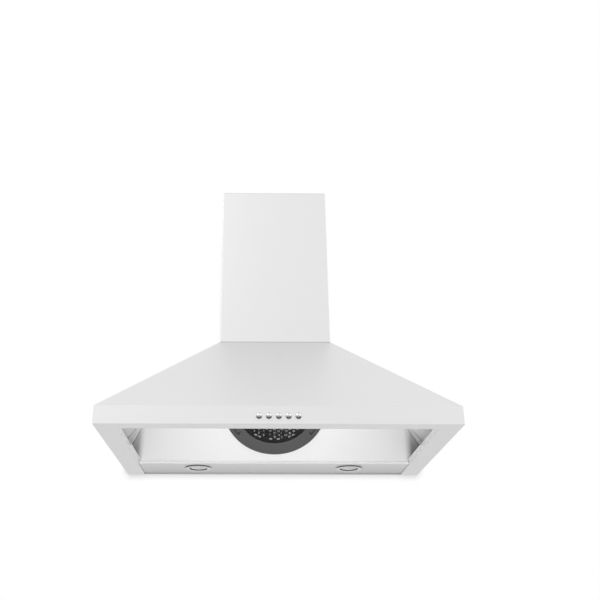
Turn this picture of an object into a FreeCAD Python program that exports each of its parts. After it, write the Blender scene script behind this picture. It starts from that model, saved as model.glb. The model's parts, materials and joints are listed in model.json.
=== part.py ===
import FreeCAD, Part
import math
import os

import Sketcher

# A wall-mounted chimney range hood. X runs to the right, Y towards the wall, Z up, in millimetres.
# Heights are worked out from the hood's bottom edge and depths from the wall plane. Every piece is
# then set down by hang_height, so that the frame's origin lies between the two wall screw holes.

Vector = FreeCAD.Vector
document = FreeCAD.newDocument("chimney_hood")
sheet = document.addObject("Spreadsheet::Sheet", "Sizes")

DRIVING_SIZES = {
    "canopy_width": 760.0,
    "canopy_depth": 500.0,
    "band_height": 39.0,
    "canopy_height": 262.0,
    "chimney_width": 267.0,
    "chimney_depth": 284.0,
    "chimney_top": 681.0,
    "metal": 1.0,
    "fold_radius": 1.6,
    "opening_half": 336.0,
    "front_flange": 35.5,
    "lip_height": 15.5,
    "hang_height": 284.0,
    "wall_hole_spacing": 160.0,
    "wall_hole_radius": 4.25,
    "strip_depth": 118.0,
    "strip_level": 2.5,
    "strip_lip": 5.5,
    "lamp_offset": 191.5,
    "lamp_depth": 66.0,
    "lamp_hole_radius": 30.0,
    "panel_tilt": 43.0,
    "panel_foot_level": 8.0,
    "panel_length": 293.0,
    "inlet_distance": 146.0,
    "ring_radius": 124.4,
    "guard_radius": 91.0,
    "hole_pitch": 10.75,
    "hole_flats": 7.9,
    "wheel_radius": 96.0,
    "wheel_depth": 58.0,
    "blade_count": 40.0,
    "scroll_step": 8.0,
    "scroll_radius": 99.0,
    "scroll_depth": 66.0,
    "motor_radius": 46.0,
    "shaft_radius": 4.0,
    "button_radius": 6.25,
    "button_pitch": 20.2,
    "button_level": 18.0,
    "collar_radius": 74.5,
    "collar_wall": 2.0,
    "collar_height": 63.0,
    "damper_level": 293.0,
    "telescope_gap": 1.5,
    "bracket_level": 645.0,
    "cable_radius": 4.0,
    "cable_offset": 115.0,
    "cable_depth": 24.0,
}
for row, (alias, number) in enumerate(DRIVING_SIZES.items(), start=1):
    sheet.set("A%d" % row, alias)
    sheet.set("B%d" % row, str(number))
    sheet.setAlias("B%d" % row, alias)
document.recompute()


# ---------------------------------------------------------------- sizes that carry their formula


class Size:
    """A number together with the spreadsheet formula that gives it."""

    def __init__(self, value, formula=None):
        self.value = float(value)
        self.formula = formula if formula else "(%.6f)" % self.value

    def __add__(self, other):
        other = as_size(other)
        return Size(self.value + other.value, "(%s + %s)" % (self.formula, other.formula))

    def __sub__(self, other):
        other = as_size(other)
        return Size(self.value - other.value, "(%s - %s)" % (self.formula, other.formula))

    def __mul__(self, other):
        other = as_size(other)
        return Size(self.value * other.value, "(%s * %s)" % (self.formula, other.formula))

    def __truediv__(self, other):
        other = as_size(other)
        return Size(self.value / other.value, "(%s / %s)" % (self.formula, other.formula))

    def __radd__(self, other):
        return as_size(other) + self

    def __rsub__(self, other):
        return as_size(other) - self

    def __rmul__(self, other):
        return as_size(other) * self

    def __neg__(self):
        return Size(-self.value, "(0 - %s)" % self.formula)


def as_size(number):
    """A plain number becomes a Size whose formula is that number."""
    return number if isinstance(number, Size) else Size(number)


def sine(angle):
    return Size(math.sin(math.radians(angle.value)), "sin(%s)" % angle.formula)


def cosine(angle):
    return Size(math.cos(math.radians(angle.value)), "cos(%s)" % angle.formula)


def root(size):
    return Size(math.sqrt(size.value), "sqrt(%s)" % size.formula)


def of(alias):
    """The driving size with that alias."""
    return Size(DRIVING_SIZES[alias], "Sizes.%s" % alias)


metal = of("metal")
half_width = of("canopy_width") / 2
half_top = of("chimney_width") / 2
front = -of("canopy_depth")
chimney_front = -of("chimney_depth")
band = of("band_height")
roof = of("canopy_height")
side_slope = (half_width - half_top) / (roof - band)
front_slope = (chimney_front - front) / (roof - band)
side_skin = metal * root(side_slope * side_slope + 1)
front_skin = metal * root(front_slope * front_slope + 1)
opening_half = of("opening_half")
opening_front = front + of("front_flange")
strip_front = -of("strip_depth")
strip_level = of("strip_level")
foot_depth = strip_front + metal
foot_level = of("panel_foot_level")
tilt = of("panel_tilt")
drop = of("hang_height")


def canopy_half(level):
    """The half width of the canopy's outer face at a height above the hood's bottom edge."""
    return half_width - side_slope * (level - band)


# ---------------------------------------------------------------- helpers for bound features


def bind(thing, path, size):
    """Sets a property of a feature to a formula."""
    thing.setExpression(path, as_size(size).formula)


def settle(thing, label, x=0.0, y=0.0, z=0.0, turn=None):
    """Names a finished piece and sets its place, with heights counted from the hood's bottom edge."""
    thing.Label = label
    if turn:
        thing.Placement = FreeCAD.Placement(Vector(0, 0, 0), turn)
    bind(thing, "Placement.Base.x", x)
    bind(thing, "Placement.Base.y", y)
    bind(thing, "Placement.Base.z", as_size(z) - drop)
    return thing


def new_body(name):
    return document.addObject("PartDesign::Body", name)


def origin_plane(body, role):
    for feature in body.Origin.OriginFeatures:
        if feature.Role == role:
            return feature
    raise ValueError("no plane " + role)


class Drawing:
    """A sketch on one of its body's origin planes whose every corner and radius is bound."""

    def __init__(self, body, role, name, offset=0.0):
        self.sketch = body.newObject("Sketcher::SketchObject", name)
        self.sketch.AttachmentSupport = [(origin_plane(body, role), "")]
        self.sketch.MapMode = "FlatFace"
        bind(self.sketch, "AttachmentOffset.Base.z", offset)

    def place(self, geometry, vertex, axis, size):
        """Holds a vertex at a bound distance from the sketch's origin along one axis."""
        kind = "DistanceX" if axis == 0 else "DistanceY"
        if abs(size.value) < 1e-9:
            straight = -2 if axis == 0 else -1
            self.sketch.addConstraint(Sketcher.Constraint("PointOnObject", geometry, vertex, straight))
            return
        number = self.sketch.addConstraint(
            Sketcher.Constraint(kind, -1, 1, geometry, vertex, size.value)
        )
        bind(self.sketch, "Constraints[%d]" % number, size)

    def polygon(self, corners):
        """A closed straight-sided outline."""
        corners = [(as_size(x), as_size(y)) for x, y in corners]
        first = len(self.sketch.Geometry)
        count = len(corners)
        for i in range(count):
            x0, y0 = corners[i]
            x1, y1 = corners[(i + 1) % count]
            line = Part.LineSegment(Vector(x0.value, y0.value, 0), Vector(x1.value, y1.value, 0))
            self.sketch.addGeometry(line, False)
        for i in range(count):
            follower = first + (i + 1) % count
            self.sketch.addConstraint(Sketcher.Constraint("Coincident", first + i, 2, follower, 1))
        for i in range(count):
            for axis in (0, 1):
                self.place(first + i, 1, axis, corners[i][axis])
        return self

    def rectangle(self, x0, x1, y0, y1):
        return self.polygon([(x0, y0), (x1, y0), (x1, y1), (x0, y1)])

    def circle(self, x, y, radius):
        """A full circle about a bound centre."""
        x, y, radius = as_size(x), as_size(y), as_size(radius)
        round_line = Part.Circle(Vector(x.value, y.value, 0), Vector(0, 0, 1), radius.value)
        index = self.sketch.addGeometry(round_line, False)
        number = self.sketch.addConstraint(Sketcher.Constraint("Radius", index, radius.value))
        bind(self.sketch, "Constraints[%d]" % number, radius)
        self.place(index, 3, 0, x)
        self.place(index, 3, 1, y)
        return self


def pad(body, drawing, length, backwards=False):
    feature = body.newObject("PartDesign::Pad", "Pad")
    feature.Profile = drawing.sketch
    bind(feature, "Length", length)
    feature.Reversed = backwards
    drawing.sketch.Visibility = False
    return feature


def pocket(body, drawing, length, backwards=False):
    """Cuts a pocket, and stops if it took nothing away."""
    document.recompute()
    before = body.Shape.Volume
    feature = body.newObject("PartDesign::Pocket", "Pocket")
    feature.Profile = drawing.sketch
    bind(feature, "Length", length)
    feature.Reversed = backwards
    document.recompute()
    if body.Shape.Volume > before - 1e-3:
        raise ValueError("a pocket of %s cuts nothing" % body.Name)
    return feature


def loft(body, lower, upper):
    feature = body.newObject("PartDesign::AdditiveLoft", "Loft")
    feature.Profile = lower.sketch
    feature.Sections = [upper.sketch]
    feature.Ruled = True
    return feature


def revolve(body, drawing, axis="V_Axis"):
    """Turns a sketch a full turn about one of its own axes."""
    feature = body.newObject("PartDesign::Revolution", "Revolution")
    feature.Profile = drawing.sketch
    feature.ReferenceAxis = (drawing.sketch, [axis])
    feature.Angle = 360.0
    return feature


def polar(body, feature, count, role="Z_Axis"):
    """Repeats a feature evenly about an axis of the body."""
    document.recompute()
    pattern = body.newObject("PartDesign::PolarPattern", "PolarPattern")
    pattern.Originals = [feature]
    pattern.Axis = (origin_plane(body, role), [""])
    pattern.Angle = 360.0
    bind(pattern, "Occurrences", count)
    body.Tip = pattern
    return pattern


def linear(body, feature, length, count, role="X_Axis"):
    """Repeats a feature at equal steps along an axis of the body."""
    document.recompute()
    pattern = body.newObject("PartDesign::LinearPattern", "LinearPattern")
    pattern.Originals = [feature]
    pattern.Direction = (origin_plane(body, role), [""])
    bind(pattern, "Length", length)
    pattern.Occurrences = count
    body.Tip = pattern
    return pattern


def round_folds(body, radius, folds):
    """Rounds the straight edges that run between the given pairs of corners."""
    document.recompute()
    base = body.Tip
    names = []
    for start, end in folds:
        ends = [Vector(*[as_size(part).value for part in corner]) for corner in (start, end)]
        for number, edge in enumerate(base.Shape.Edges, start=1):
            tips = [vertex.Point for vertex in edge.Vertexes]
            gaps = [min(end.distanceToPoint(tip) for tip in tips) for end in ends]
            if len(tips) == 2 and max(gaps) < 0.01:
                names.append("Edge%d" % number)
    if len(names) != len(folds):
        raise ValueError("a fold of %s has no edge" % body.Name)
    feature = body.newObject("PartDesign::Fillet", "Fold")
    feature.Base = (base, names)
    bind(feature, "Radius", radius)
    return feature


def box(name, x0, x1, y0, y1, z0, z1):
    """A block between bound faces, in a piece's own axes."""
    x0, y0, z0 = as_size(x0), as_size(y0), as_size(z0)
    block = document.addObject("Part::Box", name)
    bind(block, "Length", as_size(x1) - x0)
    bind(block, "Width", as_size(y1) - y0)
    bind(block, "Height", as_size(z1) - z0)
    for path, size in (("x", x0), ("y", y0), ("z", z0)):
        bind(block, "Placement.Base." + path, size)
    return block


TURN_FOR_AXIS = {
    "Z": FreeCAD.Rotation(Vector(0, 0, 1), 0),
    "X": FreeCAD.Rotation(Vector(0, 1, 0), 90),
    "Y": FreeCAD.Rotation(Vector(1, 0, 0), -90),
}


def cylinder(name, radius, x, y, z, length, axis="Z"):
    """A round bar that starts at a bound point and runs along a positive axis."""
    bar = document.addObject("Part::Cylinder", name)
    bar.Placement = FreeCAD.Placement(Vector(0, 0, 0), TURN_FOR_AXIS[axis])
    bind(bar, "Radius", radius)
    bind(bar, "Height", length)
    for path, size in (("x", x), ("y", y), ("z", z)):
        bind(bar, "Placement.Base." + path, size)
    return bar


def fuse(name, pieces):
    whole = document.addObject("Part::MultiFuse", name)
    whole.Shapes = pieces
    return whole


def cut(name, base, tools):
    tool = tools[0] if len(tools) == 1 else fuse(name + "_tools", tools)
    whole = document.addObject("Part::Cut", name)
    whole.Base = base
    whole.Tool = tool
    return whole


def together(name, pieces):
    """A group of separate solids that share one node."""
    group = document.addObject("Part::Compound", name)
    group.Links = pieces
    return group


def screw(name, x, y, z, axis, outward, head_radius, head_height, shank_radius, shank_length):
    """A pan-head screw: its head stands on the face at the point, and its shank runs inwards."""
    x, y, z = as_size(x), as_size(y), as_size(z)
    start = {"X": x, "Y": y, "Z": z}
    head_start = dict(start)
    shank_start = dict(start)
    if outward > 0:
        shank_start[axis] = start[axis] - shank_length
    else:
        head_start[axis] = start[axis] - head_height
    head = cylinder(
        name + "_head", head_radius, head_start["X"], head_start["Y"], head_start["Z"], head_height, axis
    )
    shank = cylinder(
        name + "_shank", shank_radius, shank_start["X"], shank_start["Y"], shank_start["Z"],
        shank_length, axis,
    )
    return fuse(name, [head, shank])


# ---------------------------------------------------------------- canopy

COLLAR_CENTRE = -(of("chimney_depth") / 2)
COLLAR_BORE = of("collar_radius") - of("collar_wall")
COLLAR_SCREW_REACH = 83.0 * math.sqrt(0.5)
COLLAR_SCREW_PLACES = [
    (x * COLLAR_SCREW_REACH, y * COLLAR_SCREW_REACH) for x in (-1, 1) for y in (-1, 1)
]
COLLAR_PILOT_RADIUS = 1.9
COLLAR_FLANGE_RADIUS = 90.0
REAR_RETURN = 12.0
RETURN_TOP = roof - REAR_RETURN
BACK = -metal
INNER_BACK = -metal * 2
CABLE_HOLE_RADIUS = 10.0
BUTTON_COUNT = 5
BUTTON_HOLE_GAP = 0.4


def add_sheet(body, name, level, rectangle, thickness):
    """Pads a flat rectangle of a sheet upwards from a height."""
    drawing = Drawing(body, "XY_Plane", name, level)
    drawing.rectangle(*rectangle)
    return pad(body, drawing, thickness)


def add_slope(body, name, low, low_rectangle, high, high_rectangle):
    """Joins two level rectangles by flat faces."""
    foot = Drawing(body, "XY_Plane", name + "_foot", low)
    foot.rectangle(*low_rectangle)
    top = Drawing(body, "XY_Plane", name + "_top", high)
    top.rectangle(*high_rectangle)
    return loft(body, foot, top)


def make_canopy_side(label, side):
    """A welded side sheet of the canopy: band, slope, bottom flange, up-turned lip, rear return."""
    body = new_body(label)
    foot, head = half_width * side, half_top * side
    skin = side_skin * side
    inner_foot = (half_width - metal) * side
    add_sheet(body, "band", 0, (inner_foot, foot, front, BACK), band)
    add_slope(
        body, "slope", band, (foot - skin, foot, front, BACK), roof, (head - skin, head, chimney_front, BACK),
    )
    opening = opening_half * side
    add_sheet(body, "flange", 0, (opening, inner_foot, opening_front, BACK), metal)
    lip_outside = (opening_half + metal) * side
    add_sheet(body, "lip", 0, (opening, lip_outside, opening_front, INNER_BACK), of("lip_height"))
    rear = Drawing(body, "XZ_Plane", "rear_return", metal)
    rear.polygon([
        ((half_width - REAR_RETURN) * side, 0),
        (foot, 0),
        (foot, band),
        (canopy_half(RETURN_TOP) * side, RETURN_TOP),
        ((half_top - REAR_RETURN / 2) * side, RETURN_TOP),
        ((half_width - REAR_RETURN) * side, band),
    ])
    pad(body, rear, metal)
    return settle(body, label)


def make_canopy_front():
    """The welded front sheet of the canopy: band with five button holes, slope, flange and lip."""
    body = new_body("canopy_front_sheet")
    foot = half_width - metal
    add_sheet(body, "band", 0, (-foot, foot, front, front + metal), band)
    slope_foot = half_width - side_skin
    slope_head = half_top - side_skin
    add_slope(
        body, "slope",
        band, (-slope_foot, slope_foot, front, front + front_skin),
        roof, (-slope_head, slope_head, chimney_front, chimney_front + front_skin),
    )
    add_sheet(body, "flange", 0, (-foot, foot, front, opening_front), metal)
    lip_half = opening_half + metal
    add_sheet(body, "lip", 0, (-lip_half, lip_half, opening_front - metal, opening_front), of("lip_height"))

    button_hole = Drawing(body, "XZ_Plane", "button_hole", -front)
    row = of("button_pitch") * (BUTTON_COUNT - 1)
    button_hole.circle(-row / 2, of("button_level"), of("button_radius") + BUTTON_HOLE_GAP)
    hole = pocket(body, button_hole, metal * 3, backwards=False)
    linear(body, hole, row, BUTTON_COUNT)
    return settle(body, "canopy_front_sheet")


def make_canopy_top():
    """The welded top plate of the canopy, with the outlet, the cable hole and a rear return."""
    body = new_body("canopy_top_plate")
    ceiling = roof - metal
    low_half = canopy_half(ceiling) - side_skin
    low_front = front + front_slope * (ceiling - band) + front_skin
    high_half = half_top - side_skin
    add_slope(
        body, "plate",
        ceiling, (-low_half, low_half, low_front, BACK),
        roof, (-high_half, high_half, chimney_front + front_skin, BACK),
    )
    rear = Drawing(body, "XZ_Plane", "rear_return", metal)
    return_half = canopy_half(RETURN_TOP) - side_skin
    rear.polygon([
        (-return_half, RETURN_TOP), (return_half, RETURN_TOP), (low_half, ceiling), (-low_half, ceiling),
    ])
    pad(body, rear, metal)

    outlet = Drawing(body, "XY_Plane", "duct_hole", ceiling)
    outlet.circle(0, COLLAR_CENTRE, COLLAR_BORE)
    for x, y in COLLAR_SCREW_PLACES:
        outlet.circle(x, COLLAR_CENTRE + y, COLLAR_PILOT_RADIUS)
    outlet.circle(-of("cable_offset"), -of("cable_depth"), CABLE_HOLE_RADIUS)
    pocket(body, outlet, metal * 2, backwards=True)
    return settle(body, "canopy_top_plate")


def make_back_panel():
    """The flat rear sheet of the canopy, with the tab that the wall screws go through."""
    body = new_body("canopy_back_panel")
    tab_half = 110.0
    tab_top = 302.0
    outline = Drawing(body, "XZ_Plane", "outline", 0)
    outline.polygon([
        (-half_width, 0),
        (half_width, 0),
        (half_width, band),
        (half_top, roof),
        (tab_half, roof),
        (tab_half, tab_top),
        (-tab_half, tab_top),
        (-tab_half, roof),
        (-half_top, roof),
        (-half_width, band),
    ])
    pad(body, outline, metal)
    holes = Drawing(body, "XZ_Plane", "wall_holes", 0)
    for side in (-1, 1):
        holes.circle(of("wall_hole_spacing") / 2 * side, drop, of("wall_hole_radius"))
    pocket(body, holes, metal, backwards=True)
    return settle(body, "canopy_back_panel")


def make_light_strip():
    """The rear bottom strip that carries the two lamps, folded up at its front and back."""
    body = new_body("rear_light_strip")
    side_gap = 0.5
    rear_fold = 18.0
    half = opening_half - side_gap
    back = -metal
    top = strip_level + metal
    profile = Drawing(body, "YZ_Plane", "profile", -half)
    profile.polygon([
        (strip_front, strip_level),
        (back, strip_level),
        (back, strip_level + rear_fold),
        (back - metal, strip_level + rear_fold),
        (back - metal, top),
        (strip_front + metal, top),
        (strip_front + metal, strip_level + of("strip_lip")),
        (strip_front, strip_level + of("strip_lip")),
    ])
    pad(body, profile, half * 2)
    holes = Drawing(body, "XY_Plane", "lamp_holes", strip_level)
    for side in (-1, 1):
        holes.circle(of("lamp_offset") * side, -of("lamp_depth"), of("lamp_hole_radius"))
    pocket(body, holes, metal, backwards=True)
    return settle(body, "rear_light_strip")


PANEL_TURN = FreeCAD.Rotation(Vector(1, 0, 0), 90 + tilt.value)


def settle_on_panel(thing, label, distance):
    """Sets a piece drawn square to the inclined panel, at a distance up the panel from its foot."""
    thing.Label = label
    thing.Placement = FreeCAD.Placement(Vector(0, 0, 0), PANEL_TURN)
    bind(thing, "Placement.Rotation.Angle", 90 + tilt)
    bind(thing, "Placement.Base.y", foot_depth - as_size(distance) * sine(tilt))
    bind(thing, "Placement.Base.z", foot_level + as_size(distance) * cosine(tilt) - drop)
    return thing


PANEL_SLACK = 1.4
SPIGOT_WALL = 5.5
SPIGOT_GAP = 1.0


def make_inlet_panel():
    """The inclined panel that closes the blower chamber and carries the inlet ring."""
    body = new_body("inlet_panel")
    outline = Drawing(body, "XY_Plane", "outline", -metal)
    foot_half = opening_half - metal
    over_lip = (of("lip_height") + metal - foot_level) / cosine(tilt)
    brow = (band - foot_level) / cosine(tilt)
    length = of("panel_length")
    crown_half = canopy_half(foot_level + length * cosine(tilt)) - side_skin - PANEL_SLACK
    wall_half = canopy_half(band) - side_skin - PANEL_SLACK
    right = [
        (foot_half, as_size(0)),
        (foot_half, over_lip),
        (wall_half, over_lip),
        (wall_half, brow),
        (crown_half, length),
    ]
    left = [(-x, y) for x, y in reversed(right)]
    outline.polygon(right + left)
    pad(body, outline, metal)
    hole = Drawing(body, "XY_Plane", "inlet_hole", -metal)
    hole.circle(0, of("inlet_distance"), of("guard_radius") + SPIGOT_WALL + SPIGOT_GAP)
    pocket(body, hole, metal, backwards=True)
    return settle_on_panel(body, "inlet_panel", 0)


GUSSET_LEAN = 10.6
GUSSET_HALF = 329.8
GUSSET_FOOT = 9.0
GUSSET_BASE = 165.0
HEM_AT_FOOT = 7.5
HEM_AT_TIP = 6.5


def make_gusset(label, side):
    """A triangular side plate between the lip and the inclined panel, hemmed on its free edge."""
    body = new_body(label)
    rise = 80.5
    foot_flange = 6.3
    flange_stop = 3.0
    clearance = 0.4
    rear_reach = foot_depth - (GUSSET_FOOT - foot_level) * sine(tilt) / cosine(tilt)
    start = rear_reach - GUSSET_BASE
    apex = rear_reach - (rise * math.cos(math.radians(GUSSET_LEAN))) * sine(tilt) / cosine(tilt)
    plate = Drawing(body, "YZ_Plane", "plate", 0)
    plate.polygon([(start, 0), (rear_reach - clearance, 0), (apex - clearance, rise)])
    pad(body, plate, metal, backwards=side < 0)
    hem = Drawing(body, "YZ_Plane", "hem", 0)
    tip = apex - clearance
    hem.polygon([(start, 0), (start + HEM_AT_FOOT, 0), (tip, rise - HEM_AT_TIP), (tip, rise)])
    pad(body, hem, metal, backwards=side > 0)
    flange = Drawing(body, "YZ_Plane", "flange", 0)
    flange.rectangle(start, rear_reach - flange_stop, 0, metal)
    pad(body, flange, foot_flange, backwards=side < 0)
    turn = FreeCAD.Rotation(Vector(0, 1, 0), -side * GUSSET_LEAN)
    return settle(body, label, x=GUSSET_HALF * side, z=GUSSET_FOOT, turn=turn)


# ---------------------------------------------------------------- inlet ring and guard

RING_HEIGHT = 7.0
POCKET_DEPTH = 3.0
POCKET_COUNT = 3


def make_inlet_ring():
    """The round plastic ring of the air inlet, with three pockets for a filter's bayonet hooks."""
    body = new_body("inlet_ring")
    bore = of("guard_radius")
    rim = of("ring_radius")
    spigot = 9.0
    edge_round = 2.0
    slope = 5.4
    shoulder = 1.4
    rim_height = 2.2
    profile = Drawing(body, "XZ_Plane", "profile", 0)
    profile.polygon([
        (bore, -spigot),
        (bore, RING_HEIGHT - edge_round),
        (bore + edge_round, RING_HEIGHT),
        (rim - slope, RING_HEIGHT),
        (rim - shoulder, RING_HEIGHT - edge_round),
        (rim, rim_height),
        (rim, 0),
        (bore + SPIGOT_WALL, 0),
        (bore + SPIGOT_WALL, -spigot),
    ])
    revolve(body, profile)
    slot_middle = (bore + rim) / 2
    half_long = 13.0
    half_wide = 4.6
    corner = 2.6
    slot = Drawing(body, "XY_Plane", "hook_pocket", RING_HEIGHT)
    slot.polygon([
        (-half_long, slot_middle - half_wide + corner),
        (-half_long + corner, slot_middle - half_wide),
        (half_long - corner, slot_middle - half_wide),
        (half_long, slot_middle - half_wide + corner),
        (half_long, slot_middle + half_wide - corner),
        (half_long - corner, slot_middle + half_wide),
        (-half_long + corner, slot_middle + half_wide),
        (-half_long, slot_middle + half_wide - corner),
    ])
    cutter = pocket(body, slot, POCKET_DEPTH)
    polar(body, cutter, POCKET_COUNT)
    return settle_on_panel(body, "inlet_ring", of("inlet_distance"))


def make_inlet_guard():
    """The honeycomb guard: one round plate with hexagonal holes in staggered rows."""
    edge_gap = 0.3
    edge_web = 1.2
    radius = of("guard_radius").value - edge_gap
    pitch = of("hole_pitch").value
    corner = of("hole_flats").value / math.sqrt(3)
    plate_bottom = 1.0
    plate_thickness = 3.0
    rim = Part.Wire([Part.makeCircle(radius, Vector(0, 0, plate_bottom))])
    holes = []
    row_step = pitch / 2
    column_step = pitch * math.sqrt(3)
    rows = int(radius / row_step) + 1
    columns = int(radius / column_step) + 1
    for row in range(-rows, rows + 1):
        shift = column_step / 2 if row % 2 else 0.0
        for column in range(-columns, columns + 1):
            x = column * column_step + shift
            y = row * row_step
            if math.hypot(x, y) > radius - corner - edge_web:
                continue
            points = []
            for side in range(7):
                angle = math.radians(60 * side)
                spoke = Vector(corner * math.cos(angle), corner * math.sin(angle), plate_bottom)
                points.append(Vector(x, y, 0) + spoke)
            holes.append(Part.makePolygon(points))
    face = Part.makeFace([rim] + holes, "Part::FaceMakerBullseye")
    guard = document.addObject("Part::Feature", "inlet_guard")
    guard.Shape = face.extrude(Vector(0, 0, plate_thickness))
    return settle_on_panel(guard, "inlet_guard", of("inlet_distance"))


# ---------------------------------------------------------------- blower

WHEEL_FRONT = -12.0
MOTOR_FRONT = -28.0
MOTOR_REAR = -88.0
MOTOR_CAP = 3.0
BEARING_RADIUS = 11.0
BEARING_WIDTH = 7.0
MOTOR_FLANGE_RADIUS = 66.0
MOTOR_SCREW_CIRCLE = 58.0
MOTOR_SCREW_ANGLES = (90, 210, 330)
MOTOR_SCREW_PLACES = [
    (MOTOR_SCREW_CIRCLE * math.cos(math.radians(angle)), MOTOR_SCREW_CIRCLE * math.sin(math.radians(angle)))
    for angle in MOTOR_SCREW_ANGLES
]
MOTOR_SCREW_HOLE = 2.2
SHAFT_SLACK = 0.03
BOSS_REAR = -25.0
HUB_FRONT = -15.0
NUT_HEIGHT = 6.5


def scroll_face(grow, level):
    """The snail outline: arcs whose radius grows by one step a quarter turn, then a straight outlet.

    The outline starts at the cut-off, goes over the top, down the left, under and up the right.
    """
    step = of("scroll_step").value
    radius = of("scroll_radius").value + grow
    half_step = step / 2
    mouth = 88.0
    start_angle = math.radians(52)

    def arc(centre, size, first, last):
        middle = (first + last) / 2
        points = [
            Vector(centre[0] + size * math.cos(a), centre[1] + size * math.sin(a), level)
            for a in (first, middle, last)
        ]
        return Part.Arc(*points).toShape(), points

    quarter = math.pi / 2
    edges = []
    first_arc, first_points = arc((-half_step, half_step), radius, start_angle, quarter)
    edges.append(first_arc)
    centres = [(-half_step, -half_step), (half_step, -half_step), (half_step, half_step)]
    for i, centre in enumerate(centres):
        piece, points = arc(centre, radius + step * (i + 1), quarter * (i + 1), quarter * (i + 2))
        edges.append(piece)
    outer_corner = Vector(points[2].x, mouth, level)
    inner_corner = Vector(first_points[0].x, mouth, level)
    edges.append(Part.makeLine(points[2], outer_corner))
    edges.append(Part.makeLine(outer_corner, inner_corner))
    edges.append(Part.makeLine(inner_corner, first_points[0]))
    return Part.Face(Part.Wire(edges))


def make_scroll_wrapper():
    """The spiral sheet round the wheel, open at its mouth."""
    depth = of("scroll_depth").value
    gap = metal.value
    outer = scroll_face(gap, -depth).extrude(Vector(0, 0, depth - gap))
    inner = scroll_face(0.0, -depth).extrude(Vector(0, 0, depth - gap))
    wrapper = document.addObject("Part::Feature", "scroll_wrapper")
    wrapper.Shape = outer.cut(inner)
    return settle_on_panel(wrapper, "scroll_wrapper", of("inlet_distance"))


def make_scroll_back_plate():
    """The plate behind the scroll that carries the motor."""
    border = 6.0
    motor_opening = 50.0
    depth = of("scroll_depth").value
    thickness = metal.value
    plate = scroll_face(border, -depth - thickness).extrude(Vector(0, 0, thickness))
    start = -depth - 5 * thickness
    reach = 10 * thickness
    plate = plate.cut(Part.makeCylinder(motor_opening, reach, Vector(0, 0, start)))
    for x, y in MOTOR_SCREW_PLACES:
        plate = plate.cut(Part.makeCylinder(MOTOR_SCREW_HOLE, reach, Vector(x, y, start)))
    back_plate = document.addObject("Part::Feature", "scroll_back_plate")
    back_plate.Shape = plate
    return settle_on_panel(back_plate, "scroll_back_plate", of("inlet_distance"))


def make_impeller():
    """The forward-curved wheel: a coned hub, a rear annulus, a front ring and a cage of blades."""
    body = new_body("impeller")
    rim = of("wheel_radius")
    front_margin = 12
    rear = WHEEL_FRONT - of("wheel_depth") + front_margin
    bore = of("shaft_radius") + SHAFT_SLACK
    boss_radius = 10
    sheet_thickness = 1.6
    nose_radius = 56
    cone_end = 72.5
    hub = Drawing(body, "XZ_Plane", "hub_profile", 0)
    hub.polygon([
        (bore, HUB_FRONT),
        (nose_radius, HUB_FRONT),
        (nose_radius + 2, HUB_FRONT - 2),
        (cone_end, rear),
        (rim, rear),
        (rim, rear - 1.5),
        (cone_end - 1.1, rear - 1.5),
        (nose_radius + 0.8, HUB_FRONT - sheet_thickness * 2),
        (nose_radius - 0.5, HUB_FRONT - sheet_thickness),
        (boss_radius, HUB_FRONT - sheet_thickness),
        (boss_radius, BOSS_REAR),
        (bore, BOSS_REAR),
    ])
    revolve(body, hub)
    ring_width = 7
    ring_thickness = 2
    ring = Drawing(body, "XZ_Plane", "front_ring", 0)
    ring.rectangle(rim - ring_width, rim, WHEEL_FRONT - ring_thickness, WHEEL_FRONT)
    revolve(body, ring)
    root_overlap = 0.5
    blade = Drawing(body, "XY_Plane", "blade", rear - root_overlap)
    blade.polygon([
        (rim - 15, -0.5),
        (rim - 8, 1.0),
        (rim - 2.2, 5.9),
        (rim - 1.4, 5.2),
        (rim - 7.6, -0.1),
        (rim - 15, -1.6),
    ])
    vane = pad(body, blade, WHEEL_FRONT - rear - root_overlap)
    polar(body, vane, of("blade_count"))
    return settle_on_panel(body, "impeller", of("inlet_distance"))


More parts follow.
